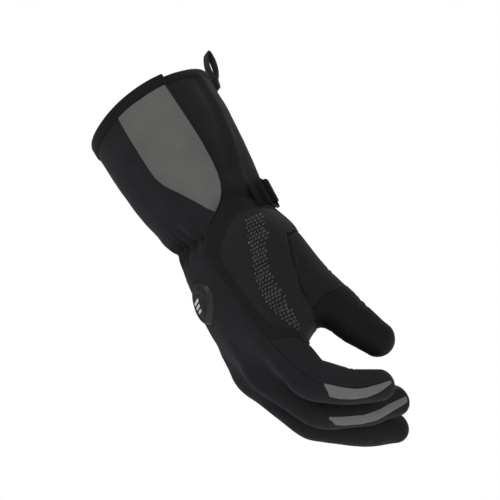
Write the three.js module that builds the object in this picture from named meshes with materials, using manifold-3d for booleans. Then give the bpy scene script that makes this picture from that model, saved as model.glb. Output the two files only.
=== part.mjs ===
import * as THREE from "three";
import Module from "manifold-3d";

// A heated winter glove for the right hand, as it is worn: long cuff up, fingers curled to the palm.
// The origin is the middle of the wrist. +Z runs up out of the cuff, -Y is the back of the hand and
// +X is the thumb's side. All lengths are in millimetres and all angles in degrees.

// Driving dimensions of the cuff and the hand
const CUFF_LENGTH = 118;
const RIM_WIDTH = 116;
const RIM_DEPTH = 100;
const WRIST_WIDTH = 94;
const WRIST_DEPTH = 75;
const HAND_LENGTH = 126;
const HAND_WIDTH = 106;
const HAND_DEPTH = 78;

// Driving dimensions of the fingers: each length runs from the knuckle to where the tip rounds off
const INDEX_LENGTH = 107;
const MIDDLE_LENGTH = 121;
const RING_LENGTH = 130;
const LITTLE_LENGTH = 93;
const THUMB_LENGTH = 110;
const FINGER_THICKNESS = 34;
const THUMB_THICKNESS = 39;

// Thicknesses of the layers
const SHELL_WALL = 3;
const FLAP_WALL = 2;
const PANEL_THICKNESS = 0.7;
const BINDING_THICKNESS = 1.2;
const WEBBING_THICKNESS = 1.2;
const CLEARANCE = 0.3;

// Trims
const FLAP_RISE = 3;
const FLAP_BINDING_HEIGHT = 9;
const RIM_BINDING_HEIGHT = 5;
const STRAP_WIDTH = 20;
const STRAP_HEIGHT = 2;
const BUCKLE_HEIGHT = 25;
const BUCKLE_LENGTH = 22;
const BUCKLE_THICKNESS = 2.2;
const BUCKLE_BAR = 2.6;
const LOOP_LENGTH = 37;
const LOOP_WIDTH = 8;
const LOOP_GAP = 6;
const LOOP_FOOT = 8;
const HOUSING_LENGTH = 32;
const HOUSING_WIDTH = 30;
const HOUSING_HEIGHT = 4;
const BUTTON_LENGTH = 17;
const BUTTON_WIDTH = 13;
const BUTTON_HEIGHT = 1.6;

const radians = THREE.MathUtils.degToRad;
const mix = THREE.MathUtils.lerp;

// Steps from one value to another, ends included
function steps(from, to, count) {
  return Array.from({ length: count + 1 }, (_, i) => mix(from, to, i / count));
}

// A smooth curve through each column of a table that never overshoots its rows. The first column
// is the one the table runs along, and it rises from row to row.
function smoothTable(rows) {
  const [key, ...columns] = Object.keys(rows[0]);
  const at = rows.map((row) => row[key]);
  const slopes = {};
  for (const column of columns) {
    const rise = rows.slice(1).map((row, i) => (row[column] - rows[i][column]) / (at[i + 1] - at[i]));
    slopes[column] = rows.map((_, i) => {
      const before = rise[Math.max(i - 1, 0)];
      const after = rise[Math.min(i, rise.length - 1)];
      return before * after > 0 ? (2 * before * after) / (before + after) : 0;
    });
  }
  return (where) => {
    const value = THREE.MathUtils.clamp(where, at[0], at[at.length - 1]);
    const i = Math.max(0, Math.min(at.findIndex((x) => x >= value) - 1, at.length - 2));
    const span = at[i + 1] - at[i];
    const t = (value - at[i]) / span;
    const result = {};
    for (const column of columns) {
      const [p, q] = [rows[i][column], rows[i + 1][column]];
      const [m, n] = [slopes[column][i] * span, slopes[column][i + 1] * span];
      const cubic = (2 * p - 2 * q + m + n) * t ** 3 + (3 * q - 3 * p - 2 * m - n) * t ** 2;
      result[column] = cubic + m * t + p;
    }
    return result;
  };
}

// The cuff's sections: how far up, as a share of its length, and how far it has flared from the
// wrist's size (0) to the rim's (1)
const CUFF_SECTIONS = [
  { up: 0.21, flare: 0.36 },
  { up: 0.51, flare: 0.83 },
  { up: 0.8, flare: 1 },
  { up: 1.03, flare: 1 },
];

// The hand's sections: how far down, as a share of its length; the section's middle and size, as
// shares of the hand's width and depth; the power of its rounded outline; and its turn about Z,
// because the little finger's knuckle lies nearer to the palm than the index finger's
const HAND_SECTIONS = [
  { down: 1, x: -0.151, y: -0.18, width: 0.604, depth: 0.256, power: 2.2, tilt: -20 },
  { down: 0.937, x: -0.132, y: -0.154, width: 0.84, depth: 0.474, power: 2.3, tilt: -20 },
  { down: 0.825, x: -0.099, y: -0.115, width: 0.934, depth: 0.718, power: 2.5, tilt: -18 },
  { down: 0.635, x: -0.085, y: -0.103, width: 0.981, depth: 0.872, power: 2.5, tilt: -14 },
  { down: 0.397, x: -0.047, y: -0.064, width: 1, depth: 0.974, power: 2.4, tilt: -8 },
  { down: 0.159, x: 0, y: -0.038, width: 0.923, depth: 1.013, power: 2.3, tilt: -3 },
];
const BODY_POWER = 2.2;

const bodySection = smoothTable([
  ...HAND_SECTIONS.map((s) => ({
    z: -s.down * HAND_LENGTH,
    x: s.x * HAND_WIDTH,
    y: s.y * HAND_DEPTH,
    width: s.width * HAND_WIDTH,
    depth: s.depth * HAND_DEPTH,
    power: s.power,
    tilt: s.tilt,
  })),
  { z: 0, x: 0, y: 0, width: WRIST_WIDTH, depth: WRIST_DEPTH, power: BODY_POWER, tilt: 0 },
  ...CUFF_SECTIONS.map((s) => ({
    z: s.up * CUFF_LENGTH,
    x: 0,
    y: 0,
    width: mix(WRIST_WIDTH, RIM_WIDTH, s.flare),
    depth: mix(WRIST_DEPTH, RIM_DEPTH, s.flare),
    power: BODY_POWER,
    tilt: 0,
  })),
]);

// Elastic gathers the cloth round the outer side of the wrist into small pleats
const BODY_SIDES = 28;
const GATHER = { from: 182, to: 275, depth: 1.1, reach: 11 };
function gather(z, turn) {
  const within = turn > GATHER.from && turn < GATHER.to;
  const fade = Math.exp(-((z / GATHER.reach) ** 2));
  return within ? GATHER.depth * fade * Math.cos(radians((turn * BODY_SIDES) / 2)) : 0;
}

// A point on the glove's cuff or hand: height, turn round the section (0 at the thumb's side, 270
// at the back of the hand) and how far outside the cloth it lies
function bodyPoint(z, turn, out = 0) {
  const s = bodySection(z);
  const [c, d] = [Math.cos(radians(turn)), Math.sin(radians(turn))];
  const u = (s.width / 2 + out) * Math.sign(c) * Math.abs(c) ** (2 / s.power);
  const v = (s.depth / 2 + out) * Math.sign(d) * Math.abs(d) ** (2 / s.power);
  const [ct, st] = [Math.cos(radians(s.tilt)), Math.sin(radians(s.tilt))];
  return new THREE.Vector3(s.x + u * ct - v * st, s.y + u * st + v * ct, z);
}

// A closed solid through rings of points. A ring of one point is a pole; where the ends are full
// rings the last one joins the first, which makes a tube with a wall.
function ringSolid(rings) {
  const positions = [];
  const starts = [];
  for (const ring of rings) {
    starts.push(positions.length / 3);
    for (const p of ring) positions.push(p.x, p.y, p.z);
  }
  const faces = [];
  const closing = rings[0].length > 1 || rings[rings.length - 1].length > 1;
  for (let i = 0; i < rings.length - (closing ? 0 : 1); i++) {
    const j = (i + 1) % rings.length;
    const [a, b] = [starts[i], starts[j]];
    const [m, n] = [rings[i].length, rings[j].length];
    const count = Math.max(m, n);
    for (let k = 0; k < count && m + n > 2; k++) {
      const l = (k + 1) % count;
      if (m === 1) faces.push(a, b + k, b + l);
      else if (n === 1) faces.push(a + k, b, a + l);
      else faces.push(a + k, b + k, a + l, a + l, b + k, b + l);
    }
  }
  return closedGeometry(positions, faces);
}

// A closed slab between two grids of points with the same rows and columns
function slabSolid(outer, inner) {
  const rows = outer.length;
  const columns = outer[0].length;
  const positions = [...outer.flat(), ...inner.flat()].flatMap((p) => [p.x, p.y, p.z]);
  const id = (side, i, j) => side * rows * columns + i * columns + j;
  const faces = [];
  const quad = (a, b, c, d) => faces.push(a, b, c, a, c, d);
  for (let i = 0; i < rows - 1; i++) {
    for (let j = 0; j < columns - 1; j++) {
      quad(id(0, i, j), id(0, i, j + 1), id(0, i + 1, j + 1), id(0, i + 1, j));
      quad(id(1, i, j), id(1, i + 1, j), id(1, i + 1, j + 1), id(1, i, j + 1));
    }
    const last = columns - 1;
    quad(id(0, i, 0), id(0, i + 1, 0), id(1, i + 1, 0), id(1, i, 0));
    quad(id(0, i, last), id(1, i, last), id(1, i + 1, last), id(0, i + 1, last));
  }
  for (let j = 0; j < columns - 1; j++) {
    const last = rows - 1;
    quad(id(0, 0, j), id(1, 0, j), id(1, 0, j + 1), id(0, 0, j + 1));
    quad(id(0, last, j), id(0, last, j + 1), id(1, last, j + 1), id(1, last, j));
  }
  return closedGeometry(positions, faces);
}

// Puts points and faces into a geometry, turned so that its faces point out
function closedGeometry(positions, faces) {
  let volume = 0;
  const point = (i) => new THREE.Vector3().fromArray(positions, 3 * i);
  for (let i = 0; i < faces.length; i += 3) {
    const [a, b, c] = [point(faces[i]), point(faces[i + 1]), point(faces[i + 2])];
    volume += a.dot(b.cross(c));
  }
  const turned = volume < 0 ? faces.slice().reverse() : faces;
  const geometry = new THREE.BufferGeometry();
  geometry.setAttribute("position", new THREE.Float32BufferAttribute(positions, 3));
  geometry.setIndex(turned);
  return geometry;
}

const wasm = await Module();
wasm.setup();

function asManifold(geometry) {
  const vertProperties = new Float32Array(geometry.getAttribute("position").array);
  const triVerts = new Uint32Array(geometry.index.array);
  return new wasm.Manifold(new wasm.Mesh({ numProp: 3, vertProperties, triVerts }));
}

// The largest body of a cut solid, as a geometry: what a cut leaves of a root inside is dropped
function asGeometry(manifold) {
  const bodies = manifold.decompose().sort((a, b) => b.volume() - a.volume());
  const mesh = bodies[0].getMesh();
  const geometry = new THREE.BufferGeometry();
  geometry.setAttribute("position", new THREE.Float32BufferAttribute(mesh.vertProperties, 3));
  geometry.setIndex([...mesh.triVerts]);
  return geometry;
}

function cut(geometry, ...cutters) {
  const take = (left, cutter) => left.subtract(asManifold(cutter));
  return asGeometry(cutters.reduce(take, asManifold(geometry)));
}

// Fingers. Each runs from a root inside the hand through its knuckle, whose place is given as
// shares of the hand's width, depth and length. Splay turns it to the thumb's side, pitch and the
// two bends turn it to the palm. The joints are shares of the finger's length, and the radii at
// root, knuckle, first joint and tip are shares of its thickness.
const FINGERS = {
  index: {
    length: INDEX_LENGTH, thickness: FINGER_THICKNESS, x: 0.175, y: -0.362, z: -0.798,
    root: 24, rootPitch: -9, rootSplay: 5, splay: 5, pitch: 4, bends: [54, 16], joints: [0.43, 0.748],
    radii: [0.382, 0.53, 0.51, 0.37], flat: 0.85,
  },
  middle: {
    length: MIDDLE_LENGTH, thickness: FINGER_THICKNESS, x: -0.142, y: -0.359, z: -0.921,
    root: 24, rootPitch: -9, rootSplay: 11, splay: 11, pitch: 23, bends: [48, 10], joints: [0.446, 0.768],
    radii: [0.382, 0.5, 0.494, 0.391], flat: 0.85,
  },
  ring: {
    length: RING_LENGTH, thickness: FINGER_THICKNESS, x: -0.443, y: -0.192, z: -0.849,
    root: 24, rootPitch: -9, rootSplay: 13.5, splay: 13.5, pitch: 17, bends: [35, 17], joints: [0.46, 0.744],
    radii: [0.353, 0.46, 0.505, 0.395], flat: 0.85,
  },
  little: {
    length: LITTLE_LENGTH, thickness: FINGER_THICKNESS, x: -0.486, y: 0.11, z: -0.745,
    root: 24, rootPitch: -9, rootSplay: 10, splay: 10, pitch: 15, bends: [14, 17], joints: [0.452, 0.742],
    radii: [0.324, 0.426, 0.412, 0.347], flat: 0.85,
  },
  thumb: {
    length: THUMB_LENGTH, thickness: THUMB_THICKNESS, x: 0.321, y: 0.128, z: -0.302,
    root: 26, rootPitch: 20, rootSplay: 30, splay: 0, pitch: 7, bends: [18, 4], joints: [0.409, 0.755],
    radii: [0.23, 0.41, 0.525, 0.375], flat: 0.89,
  },
};
const BEND_REACH = 9;
const TIP_ROUNDING = 0.85;
const PATH_STEPS = 160;

// Works out a finger's centre line: at each distance from the root its point, its direction, the
// sideways and upward directions of its section, and its radius
function fingerLine(finger) {
  const total = finger.root + finger.length;
  const knuckles = [finger.root, ...finger.joints.map((share) => finger.root + share * finger.length)];
  const angles = [finger.pitch - finger.rootPitch, ...finger.bends];
  const turnedAt = (s) => knuckles.map((k) => THREE.MathUtils.smoothstep(s, k - BEND_REACH, k + BEND_REACH));
  const line = [];
  const place = new THREE.Vector3();
  for (const s of steps(0, total, PATH_STEPS)) {
    const turned = turnedAt(s);
    const pitch = radians(turned.reduce((sum, t, i) => sum + t * angles[i], finger.rootPitch));
    const splay = radians(mix(finger.rootSplay, finger.splay, turned[0]));
    const direction = new THREE.Vector3(
      Math.sin(splay) * Math.cos(pitch), Math.sin(pitch), -Math.cos(splay) * Math.cos(pitch));
    const side = new THREE.Vector3(Math.cos(splay), 0, Math.sin(splay));
    const up = direction.clone().cross(side);
    if (line.length) place.addScaledVector(direction, total / PATH_STEPS);
    line.push({ s, point: place.clone(), direction, side, up });
  }
  const knuckle = new THREE.Vector3(finger.x * HAND_WIDTH, finger.y * HAND_DEPTH, finger.z * HAND_LENGTH);
  const offset = knuckle.sub(line[Math.round((finger.root / total) * PATH_STEPS)].point);
  for (const station of line) station.point.add(offset);
  const stops = [0, knuckles[0], knuckles[1], total];
  const radii = finger.radii.map((share) => share * finger.thickness);
  return { line, total, stops, lastJoint: knuckles[2], radii, flat: finger.flat };
}

// A finger's radius at a distance from its root
function radiusAt(shape, s) {
  const i = Math.min(shape.stops.findIndex((stop) => stop >= s - 1e-6) || 1, 3);
  const t = (s - shape.stops[i - 1]) / (shape.stops[i] - shape.stops[i - 1]);
  return mix(shape.radii[i - 1], shape.radii[i], t);
}

// A point on a finger: distance from its root, turn round its section (0 at the thumb's side, 90
// at the back of the hand) and how far outside the cloth it lies. Past the end it rounds off.
function fingerPoint(shape, s, turn, out = 0) {
  const station = shape.line[Math.min(Math.round((s / shape.total) * PATH_STEPS), PATH_STEPS)];
  const past = Math.max(0, s - shape.total);
  const end = radiusAt(shape, Math.min(s, shape.total));
  const sweep = Math.min(past / (end * TIP_ROUNDING), 1) * (Math.PI / 2);
  const radius = (end + out) * Math.cos(sweep);
  const [c, d] = [Math.cos(radians(turn)), Math.sin(radians(turn))];
  return station.point
    .clone()
    .addScaledVector(station.direction, (end + out) * TIP_ROUNDING * Math.sin(sweep))
    .addScaledVector(station.side, shape.flat * radius * c)
    .addScaledVector(station.up, radius * d);
}

// Distances from the root at which a finger gets a ring, closer together at its bends
const FINGER_SIDES = 12;
const TIP_SWEEPS = [0.4, 0.78];
function fingerStations(shape) {
  const [, knuckle, joint, end] = shape.stops;
  return [
    0, knuckle - BEND_REACH, knuckle + BEND_REACH / 2, mix(knuckle, joint, 0.5),
    joint - BEND_REACH, joint, joint + BEND_REACH,
    shape.lastJoint - BEND_REACH / 2, shape.lastJoint + BEND_REACH, end,
  ];
}

// A finger's rings from root to tip, its cloth moved out, and the tip's pole
function fingerRings(shape, out) {
  const tip = shape.radii[3] * TIP_ROUNDING;
  const along = [...fingerStations(shape), ...TIP_SWEEPS.map((share) => shape.total + share * tip)];
  const turns = steps(0, 360, FINGER_SIDES).slice(1);
  const rings = along.map((s) => turns.map((turn) => fingerPoint(shape, s, turn, out)));
  return [...rings, [fingerPoint(shape, shape.total + tip, 0, out)]];
}

// A finger as a full solid, closed at its root by a pole
function fingerFilled(shape, out) {
  const rings = fingerRings(shape, out);
  return ringSolid([[shape.line[0].point], ...rings]);
}

// A finger's wall: outside down to the tip and back up inside
function fingerWall(shape) {
  return ringSolid([...fingerRings(shape, 0), ...fingerRings(shape, -SHELL_WALL).reverse()]);
}

const shapes = {};
for (const name of Object.keys(FINGERS)) shapes[name] = fingerLine(FINGERS[name]);

// The turns at which the cuff and the hand get a column of points, two on each side of the flap
const FLAP_FROM = 200;
const FLAP_TO = 343;
const FLAP_MARGIN = 1;
const FLAP_BLEND = 6;
const BODY_TURNS = [
  ...steps(0, 360, BODY_SIDES).slice(1),
  FLAP_FROM - FLAP_BLEND, FLAP_FROM - FLAP_MARGIN, FLAP_TO + FLAP_MARGIN, FLAP_TO + FLAP_BLEND,
].sort((a, b) => a - b);

// The hand's rings from the wrist down, its cloth moved out, and the pole at the knuckles' end
const HAND_ROWS = [0, 0.06, 0.16, 0.28, 0.42, 0.56, 0.68, 0.79, 0.88, 0.95, 1];
const HAND_END_BULGE = 2;
function handRings(out, top) {
  const reach = (HAND_LENGTH + out) / HAND_LENGTH;
  const rings = HAND_ROWS.map((share) => {
    const z = -share * HAND_LENGTH;
    const low = Math.min(top, z * reach);
    return BODY_TURNS.map((turn) => bodyPoint(z, turn, out + gather(z, turn)).setZ(low));
  });
  const last = bodySection(-HAND_LENGTH);
  const pole = new THREE.Vector3(last.x, last.y, -HAND_LENGTH * reach - HAND_END_BULGE);
  return [...rings, [pole]];
}

// The whole glove without its fingers as a full solid, its cloth moved out
const CUFF_FIRST_ROW = 5;
const CUFF_ROWS = 6;
const CUFF_HEIGHTS = steps(CUFF_FIRST_ROW, CUFF_LENGTH, CUFF_ROWS);
function bodyFilled(out) {
  const above = CUFF_LENGTH + 2 * FLAP_RISE;
  const cuff = [...CUFF_HEIGHTS, above].map((z) =>
    BODY_TURNS.map((turn) => bodyPoint(z, turn, out + gather(z, turn))));
  return ringSolid([[new THREE.Vector3(0, 0, above)], ...cuff.reverse(), ...handRings(out, 0)]);
}

// A layer on the cloth: what a thick region covers between two heights over it
function layer(region, filled, inner, outer) {
  const covered = asManifold(region).intersect(asManifold(filled(outer)));
  return asGeometry(covered.subtract(asManifold(filled(inner))));
}

const SEAM_GAP = CLEARANCE / 2;
function handShell() {
  const [outside, inside] = [0, -SHELL_WALL].map((out) => handRings(out, -SEAM_GAP));
  const wall = ringSolid([...outside, ...inside.reverse()]);
  return cut(wall, ...Object.values(shapes).map((shape) => fingerFilled(shape, -SHELL_WALL)));
}

// A finger leaves the hand where the hand's outside ends, and stops short of the finger beside it
function fingerSolid(name, beside) {
  const cutters = [bodyFilled(CLEARANCE)];
  if (beside) cutters.push(fingerFilled(shapes[beside], CLEARANCE));
  return cut(fingerWall(shapes[name]), ...cutters);
}

// The closure flap lies over the cuff's outer side. Its layer takes up the cloth's full size there,
// so the cuff under it is smaller by the flap's thickness.
function flapInset(turn) {
  const rise = THREE.MathUtils.smoothstep(turn, FLAP_FROM - FLAP_BLEND, FLAP_FROM - FLAP_MARGIN);
  const fall = 1 - THREE.MathUtils.smoothstep(turn, FLAP_TO + FLAP_MARGIN, FLAP_TO + FLAP_BLEND);
  return -(FLAP_WALL + CLEARANCE) * rise * fall;
}

// The height of the flap's lower edge, as shares of the cuff's length: level at the back, down to
// a point over the wrist, and up again along its front edge
const flapEdge = smoothTable([
  { turn: FLAP_FROM, low: 0.15 },
  { turn: 288, low: 0.15 },
  { turn: 314, low: 0.05 },
  { turn: 328, low: 0.1 },
  { turn: 335, low: 0.16 },
  { turn: 340, low: 0.26 },
  { turn: FLAP_TO, low: 0.36 },
]);

// How far a region reaches into the glove and out of it, so that a layer can be taken from it
const REGION = { inner: -4, outer: 5 };

// A region of the cuff or hand between two heights that may change with the turn
const REGION_STEP = 10;
function bandRegion({ from, to, low, high, rows }) {
  const turns = steps(from, to, Math.ceil((to - from) / REGION_STEP));
  const grid = (out) =>
    steps(0, 1, rows).map((share) =>
      turns.map((turn) => bodyPoint(mix(low(turn), high(turn), share), turn, out)));
  return slabSolid(grid(REGION.outer), grid(REGION.inner));
}

// The same between two turns that may change with the height
function patchRegion({ bottom, top, rows, columns, left, right }) {
  const grid = (out) =>
    steps(bottom, top, rows).map((z) =>
      steps(left(z), right(z), columns).map((turn) => bodyPoint(z, turn, out)));
  return slabSolid(grid(REGION.outer), grid(REGION.inner));
}

function cuffShell() {
  const rings = (out) =>
    [SEAM_GAP, ...CUFF_HEIGHTS].reverse().map((z) =>
      BODY_TURNS.map((turn) => bodyPoint(z, turn, out + flapInset(turn) + gather(z, turn))));
  return ringSolid([...rings(0), ...rings(-SHELL_WALL).reverse()]);
}

function cuffFlap() {
  const region = bandRegion({
    from: FLAP_FROM, to: FLAP_TO, rows: 5,
    low: (turn) => flapEdge(turn).low * CUFF_LENGTH, high: () => CUFF_LENGTH + FLAP_RISE,
  });
  return layer(region, bodyFilled, -FLAP_WALL, 0);
}

// Bindings sewn round the flap's upper edge and round the rest of the rim
function flapBinding() {
  const top = CUFF_LENGTH + FLAP_RISE;
  const region = bandRegion({
    from: FLAP_FROM, to: FLAP_TO, rows: 1, low: () => top - FLAP_BINDING_HEIGHT, high: () => top,
  });
  return layer(region, bodyFilled, CLEARANCE, CLEARANCE + BINDING_THICKNESS);
}

function rimBinding() {
  const margin = FLAP_BLEND + 2;
  const region = bandRegion({
    from: FLAP_TO + margin - 360, to: FLAP_FROM - margin, rows: 1,
    low: () => CUFF_LENGTH - RIM_BINDING_HEIGHT, high: () => CUFF_LENGTH,
  });
  return layer(region, bodyFilled, CLEARANCE, CLEARANCE + BINDING_THICKNESS);
}

// The grey reflective panel on the flap: its two long edges, by height as a share of the cuff's
// length, run together in a point over the wrist
const panelEdges = smoothTable([
  { up: 0.06, left: 312, right: 316 },
  { up: 0.13, left: 306, right: 329 },
  { up: 0.2, left: 300, right: 337 },
  { up: 0.33, left: 291, right: 341 },
  { up: 0.46, left: 286, right: 342 },
  { up: 0.93, left: 287, right: 341 },
]);
const PANEL_LOW = 0.07;
const PANEL_HIGH = 0.935;
function reflectivePanel() {
  const region = patchRegion({
    bottom: PANEL_LOW * CUFF_LENGTH, top: PANEL_HIGH * CUFF_LENGTH, rows: 8, columns: 3,
    left: (z) => panelEdges(z / CUFF_LENGTH).left, right: (z) => panelEdges(z / CUFF_LENGTH).right,
  });
  return layer(region, bodyFilled, CLEARANCE, CLEARANCE + PANEL_THICKNESS);
}

// The stretch panel on the back of the hand and the rubber-printed pad on it: their outer edges
// by depth below the wrist, as a share of the hand's length
const backEdges = smoothTable([
  { down: -0.03, left: 311, right: 372 },
  { down: 0.024, left: 295, right: 384 },
  { down: 0.095, left: 287, right: 396 },
  { down: 0.2, left: 286, right: 404 },
  { down: 0.35, left: 293, right: 412 },
  { down: 0.48, left: 302, right: 416 },
  { down: 0.62, left: 312, right: 418 },
  { down: 0.78, left: 318, right: 418 },
]);
const padEdges = smoothTable([
  { down: 0.06, left: 331, right: 362 },
  { down: 0.12, left: 323, right: 380 },
  { down: 0.17, left: 312, right: 390 },
  { down: 0.22, left: 302, right: 396 },
  { down: 0.35, left: 306, right: 404 },
  { down: 0.48, left: 315, right: 408 },
  { down: 0.6, left: 325, right: 408 },
  { down: 0.72, left: 333, right: 408 },
]);
const BACK_TOP = STRAP_HEIGHT - STRAP_WIDTH / 2 - CLEARANCE;
const BACK_LOW = 0.76;
function backPanel() {
  const region = patchRegion({
    bottom: -BACK_LOW * HAND_LENGTH, top: BACK_TOP, rows: 6, columns: 7,
    left: (z) => backEdges(-z / HAND_LENGTH).left, right: (z) => backEdges(-z / HAND_LENGTH).right,
  });
  const panel = layer(region, bodyFilled, CLEARANCE, CLEARANCE + PANEL_THICKNESS);
  return cut(panel, fingerFilled(shapes.index, CLEARANCE), fingerFilled(shapes.thumb, CLEARANCE));
}

const PAD_HIGH = 0.09;
const PAD_LOW = 0.7;
function handPad() {
  const region = patchRegion({
    bottom: -PAD_LOW * HAND_LENGTH, top: -PAD_HIGH * HAND_LENGTH, rows: 5, columns: 6,
    left: (z) => padEdges(-z / HAND_LENGTH).left, right: (z) => padEdges(-z / HAND_LENGTH).right,
  });
  const lift = 2 * CLEARANCE + PANEL_THICKNESS;
  const pad = layer(region, bodyFilled, lift, lift + PANEL_THICKNESS);
  return cut(pad, fingerFilled(shapes.index, CLEARANCE), fingerFilled(shapes.thumb, CLEARANCE));
}

// The wrist strap runs round the thumb's side of the wrist. Beside the buckle it climbs over the
// buckle's middle bar: the table gives its height over the cloth by the way from that bar, both
// as shares of the buckle's half length and of the bar's top.
const STRAP_TAIL = 8;
const STRAP_TO = 150;
const BUCKLE_TURN = 32;

// The slider bridges the hollow of the wrist: Z out of the cloth, Y up the glove, X round it
const BUCKLE_LIFT = 2 * CLEARANCE + PANEL_THICKNESS;
const buckleFrame = (() => {
  const [high, low] = [1, -1].map((end) => bodyPoint(STRAP_HEIGHT + (end * BUCKLE_HEIGHT) / 2, BUCKLE_TURN));
  const around = bodyPoint(STRAP_HEIGHT, BUCKLE_TURN + 2).sub(bodyPoint(STRAP_HEIGHT, BUCKLE_TURN - 2));
  const outward = around.clone().cross(high.clone().sub(low)).normalize();
  const upward = outward.clone().cross(around).normalize();
  const place = high.add(low).multiplyScalar(0.5).addScaledVector(outward, BUCKLE_LIFT);
  return new THREE.Matrix4().makeBasis(around.normalize(), upward, outward).setPosition(place);
})();
const buckleHeight = new THREE.Vector3()
  .setFromMatrixPosition(buckleFrame)
  .distanceTo(bodyPoint(STRAP_HEIGHT, BUCKLE_TURN));
const BAR_TOP = buckleHeight + BUCKLE_THICKNESS + CLEARANCE;
const STRAP_CLIMB = [
  { way: 0, climb: 1 },
  { way: 0.18, climb: 1 },
  { way: 0.58, climb: 0.06 },
  { way: 0.75, climb: 0 },
];
const strapClimb = smoothTable(STRAP_CLIMB);

// The turn that lies a length along the cloth from another turn, at the strap's height
function turnAlong(turn, length) {
  const step = bodyPoint(STRAP_HEIGHT, turn + 1).distanceTo(bodyPoint(STRAP_HEIGHT, turn - 1)) / 2;
  return turn + length / step;
}

function wristStrap() {
  const half = BUCKLE_LENGTH / 2;
  const ways = STRAP_CLIMB.flatMap(({ way }) => [-way, way]).concat([-0.45, -0.3, 0.3, 0.45]);
  const near = [...new Set(ways)].sort((a, b) => a - b).map((way) => turnAlong(BUCKLE_TURN, way * half));
  const turns = [
    turnAlong(BUCKLE_TURN, -half - STRAP_TAIL),
    ...near,
    ...steps(near[near.length - 1], STRAP_TO, 12).slice(1),
  ];
  const reach = (turn) => Math.abs(turn - BUCKLE_TURN) / (turnAlong(BUCKLE_TURN, half) - BUCKLE_TURN);
  const lift = (turn) => strapClimb(reach(turn)).climb * BAR_TOP;
  const grid = (out) =>
    steps(STRAP_HEIGHT - STRAP_WIDTH / 2, STRAP_HEIGHT + STRAP_WIDTH / 2, 3).map((z) =>
      turns.map((turn) => bodyPoint(z, turn, lift(turn) + out)));
  return cut(slabSolid(grid(CLEARANCE + WEBBING_THICKNESS), grid(0)), bodyFilled(CLEARANCE));
}

// A rectangle with rounded corners, as points: its middle, half sizes and corner radius
function roundedRectangle(x, y, halfWidth, halfHeight, corner, facets) {
  const quarters = [[1, -1, 270], [1, 1, 0], [-1, 1, 90], [-1, -1, 180]];
  return quarters.flatMap(([sx, sy, start]) =>
    steps(start, start + 90, facets).map((angle) => new THREE.Vector2(
      x + sx * (halfWidth - corner) + corner * Math.cos(radians(angle)),
      y + sy * (halfHeight - corner) + corner * Math.sin(radians(angle)))));
}

// The slider: a frame with two slots and a middle bar, which the strap goes over
const BUCKLE_CORNER = 3;
const SLOT_CORNER = 0.8;
function strapBuckle() {
  const half = BUCKLE_LENGTH / 2;
  const outline = new THREE.Shape(roundedRectangle(0, 0, half, BUCKLE_HEIGHT / 2, BUCKLE_CORNER, 3));
  const slotWidth = half - 1.5 * BUCKLE_BAR;
  for (const side of [-1, 1]) {
    const middle = (side * (BUCKLE_BAR + slotWidth)) / 2;
    const slotHeight = STRAP_WIDTH / 2 + 2 * CLEARANCE;
    const slot = roundedRectangle(middle, 0, slotWidth / 2, slotHeight, SLOT_CORNER, 1);
    outline.holes.push(new THREE.Path(slot));
  }
  return new THREE.ExtrudeGeometry(outline, { depth: BUCKLE_THICKNESS, bevelEnabled: false });
}

// The pull loop: webbing sewn to the cuff by its foot, opened into a long eye above it
const LOOP_PLACE = { turn: 63, up: 0.91, lean: 19 };
function pullLoop() {
  const eye = LOOP_LENGTH - LOOP_FOOT;
  const opened = (share) => (LOOP_GAP / 2) * Math.sin(Math.PI * share) ** 0.75;
  const shares = steps(0, 1, 12);
  const inside = shares.map((share) => new THREE.Vector2(opened(share), LOOP_FOOT + share * eye));
  const outside = shares.slice(0, -1).map((share) =>
    new THREE.Vector2(opened(share) + WEBBING_THICKNESS, LOOP_FOOT + share * eye));
  const top = new THREE.Vector2(0, LOOP_LENGTH + WEBBING_THICKNESS);
  const shoulder = new THREE.Vector2(WEBBING_THICKNESS, LOOP_LENGTH + WEBBING_THICKNESS * 0.6);
  const mirrored = (points) => points.map((p) => new THREE.Vector2(-p.x, p.y)).reverse();
  const right = [new THREE.Vector2(WEBBING_THICKNESS, 0), ...outside, shoulder];
  const outline = new THREE.Shape([...right, top, ...mirrored(right)]);
  outline.holes.push(new THREE.Path([...inside, ...mirrored(inside.slice(1, -1))]));
  return new THREE.ExtrudeGeometry(outline, { depth: LOOP_WIDTH, bevelEnabled: false });
}

// A rounded rhombic pad on the cloth: rings spread from its middle, with a height for each, and
// its underside cut to the cloth if it lies on that
const PAD_POWER = 1.7;
function mound({ z, turn, length, width, base, profile, sides }) {
  const step = bodyPoint(z, turn + 1).distanceTo(bodyPoint(z, turn - 1)) / 2;
  const ring = (spread, out) =>
    steps(0, 360, sides).slice(1).map((angle) => {
      const [c, d] = [Math.cos(radians(angle)), Math.sin(radians(angle))];
      const round = (v) => Math.sign(v) * Math.abs(v) ** (2 / PAD_POWER);
      const [across, along] = [(spread * width * round(c)) / 2, (spread * length * round(d)) / 2];
      return bodyPoint(z + along, turn + across / step, out);
    });
  const upper = profile.map(({ spread, height }) => ring(spread, base + height));
  const lower = [...profile].reverse().map(({ spread }) => ring(spread, base));
  const topPole = [bodyPoint(z, turn, base + profile[0].height)];
  return ringSolid([topPole, ...upper, ...lower, [bodyPoint(z, turn, base)]]);
}

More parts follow.
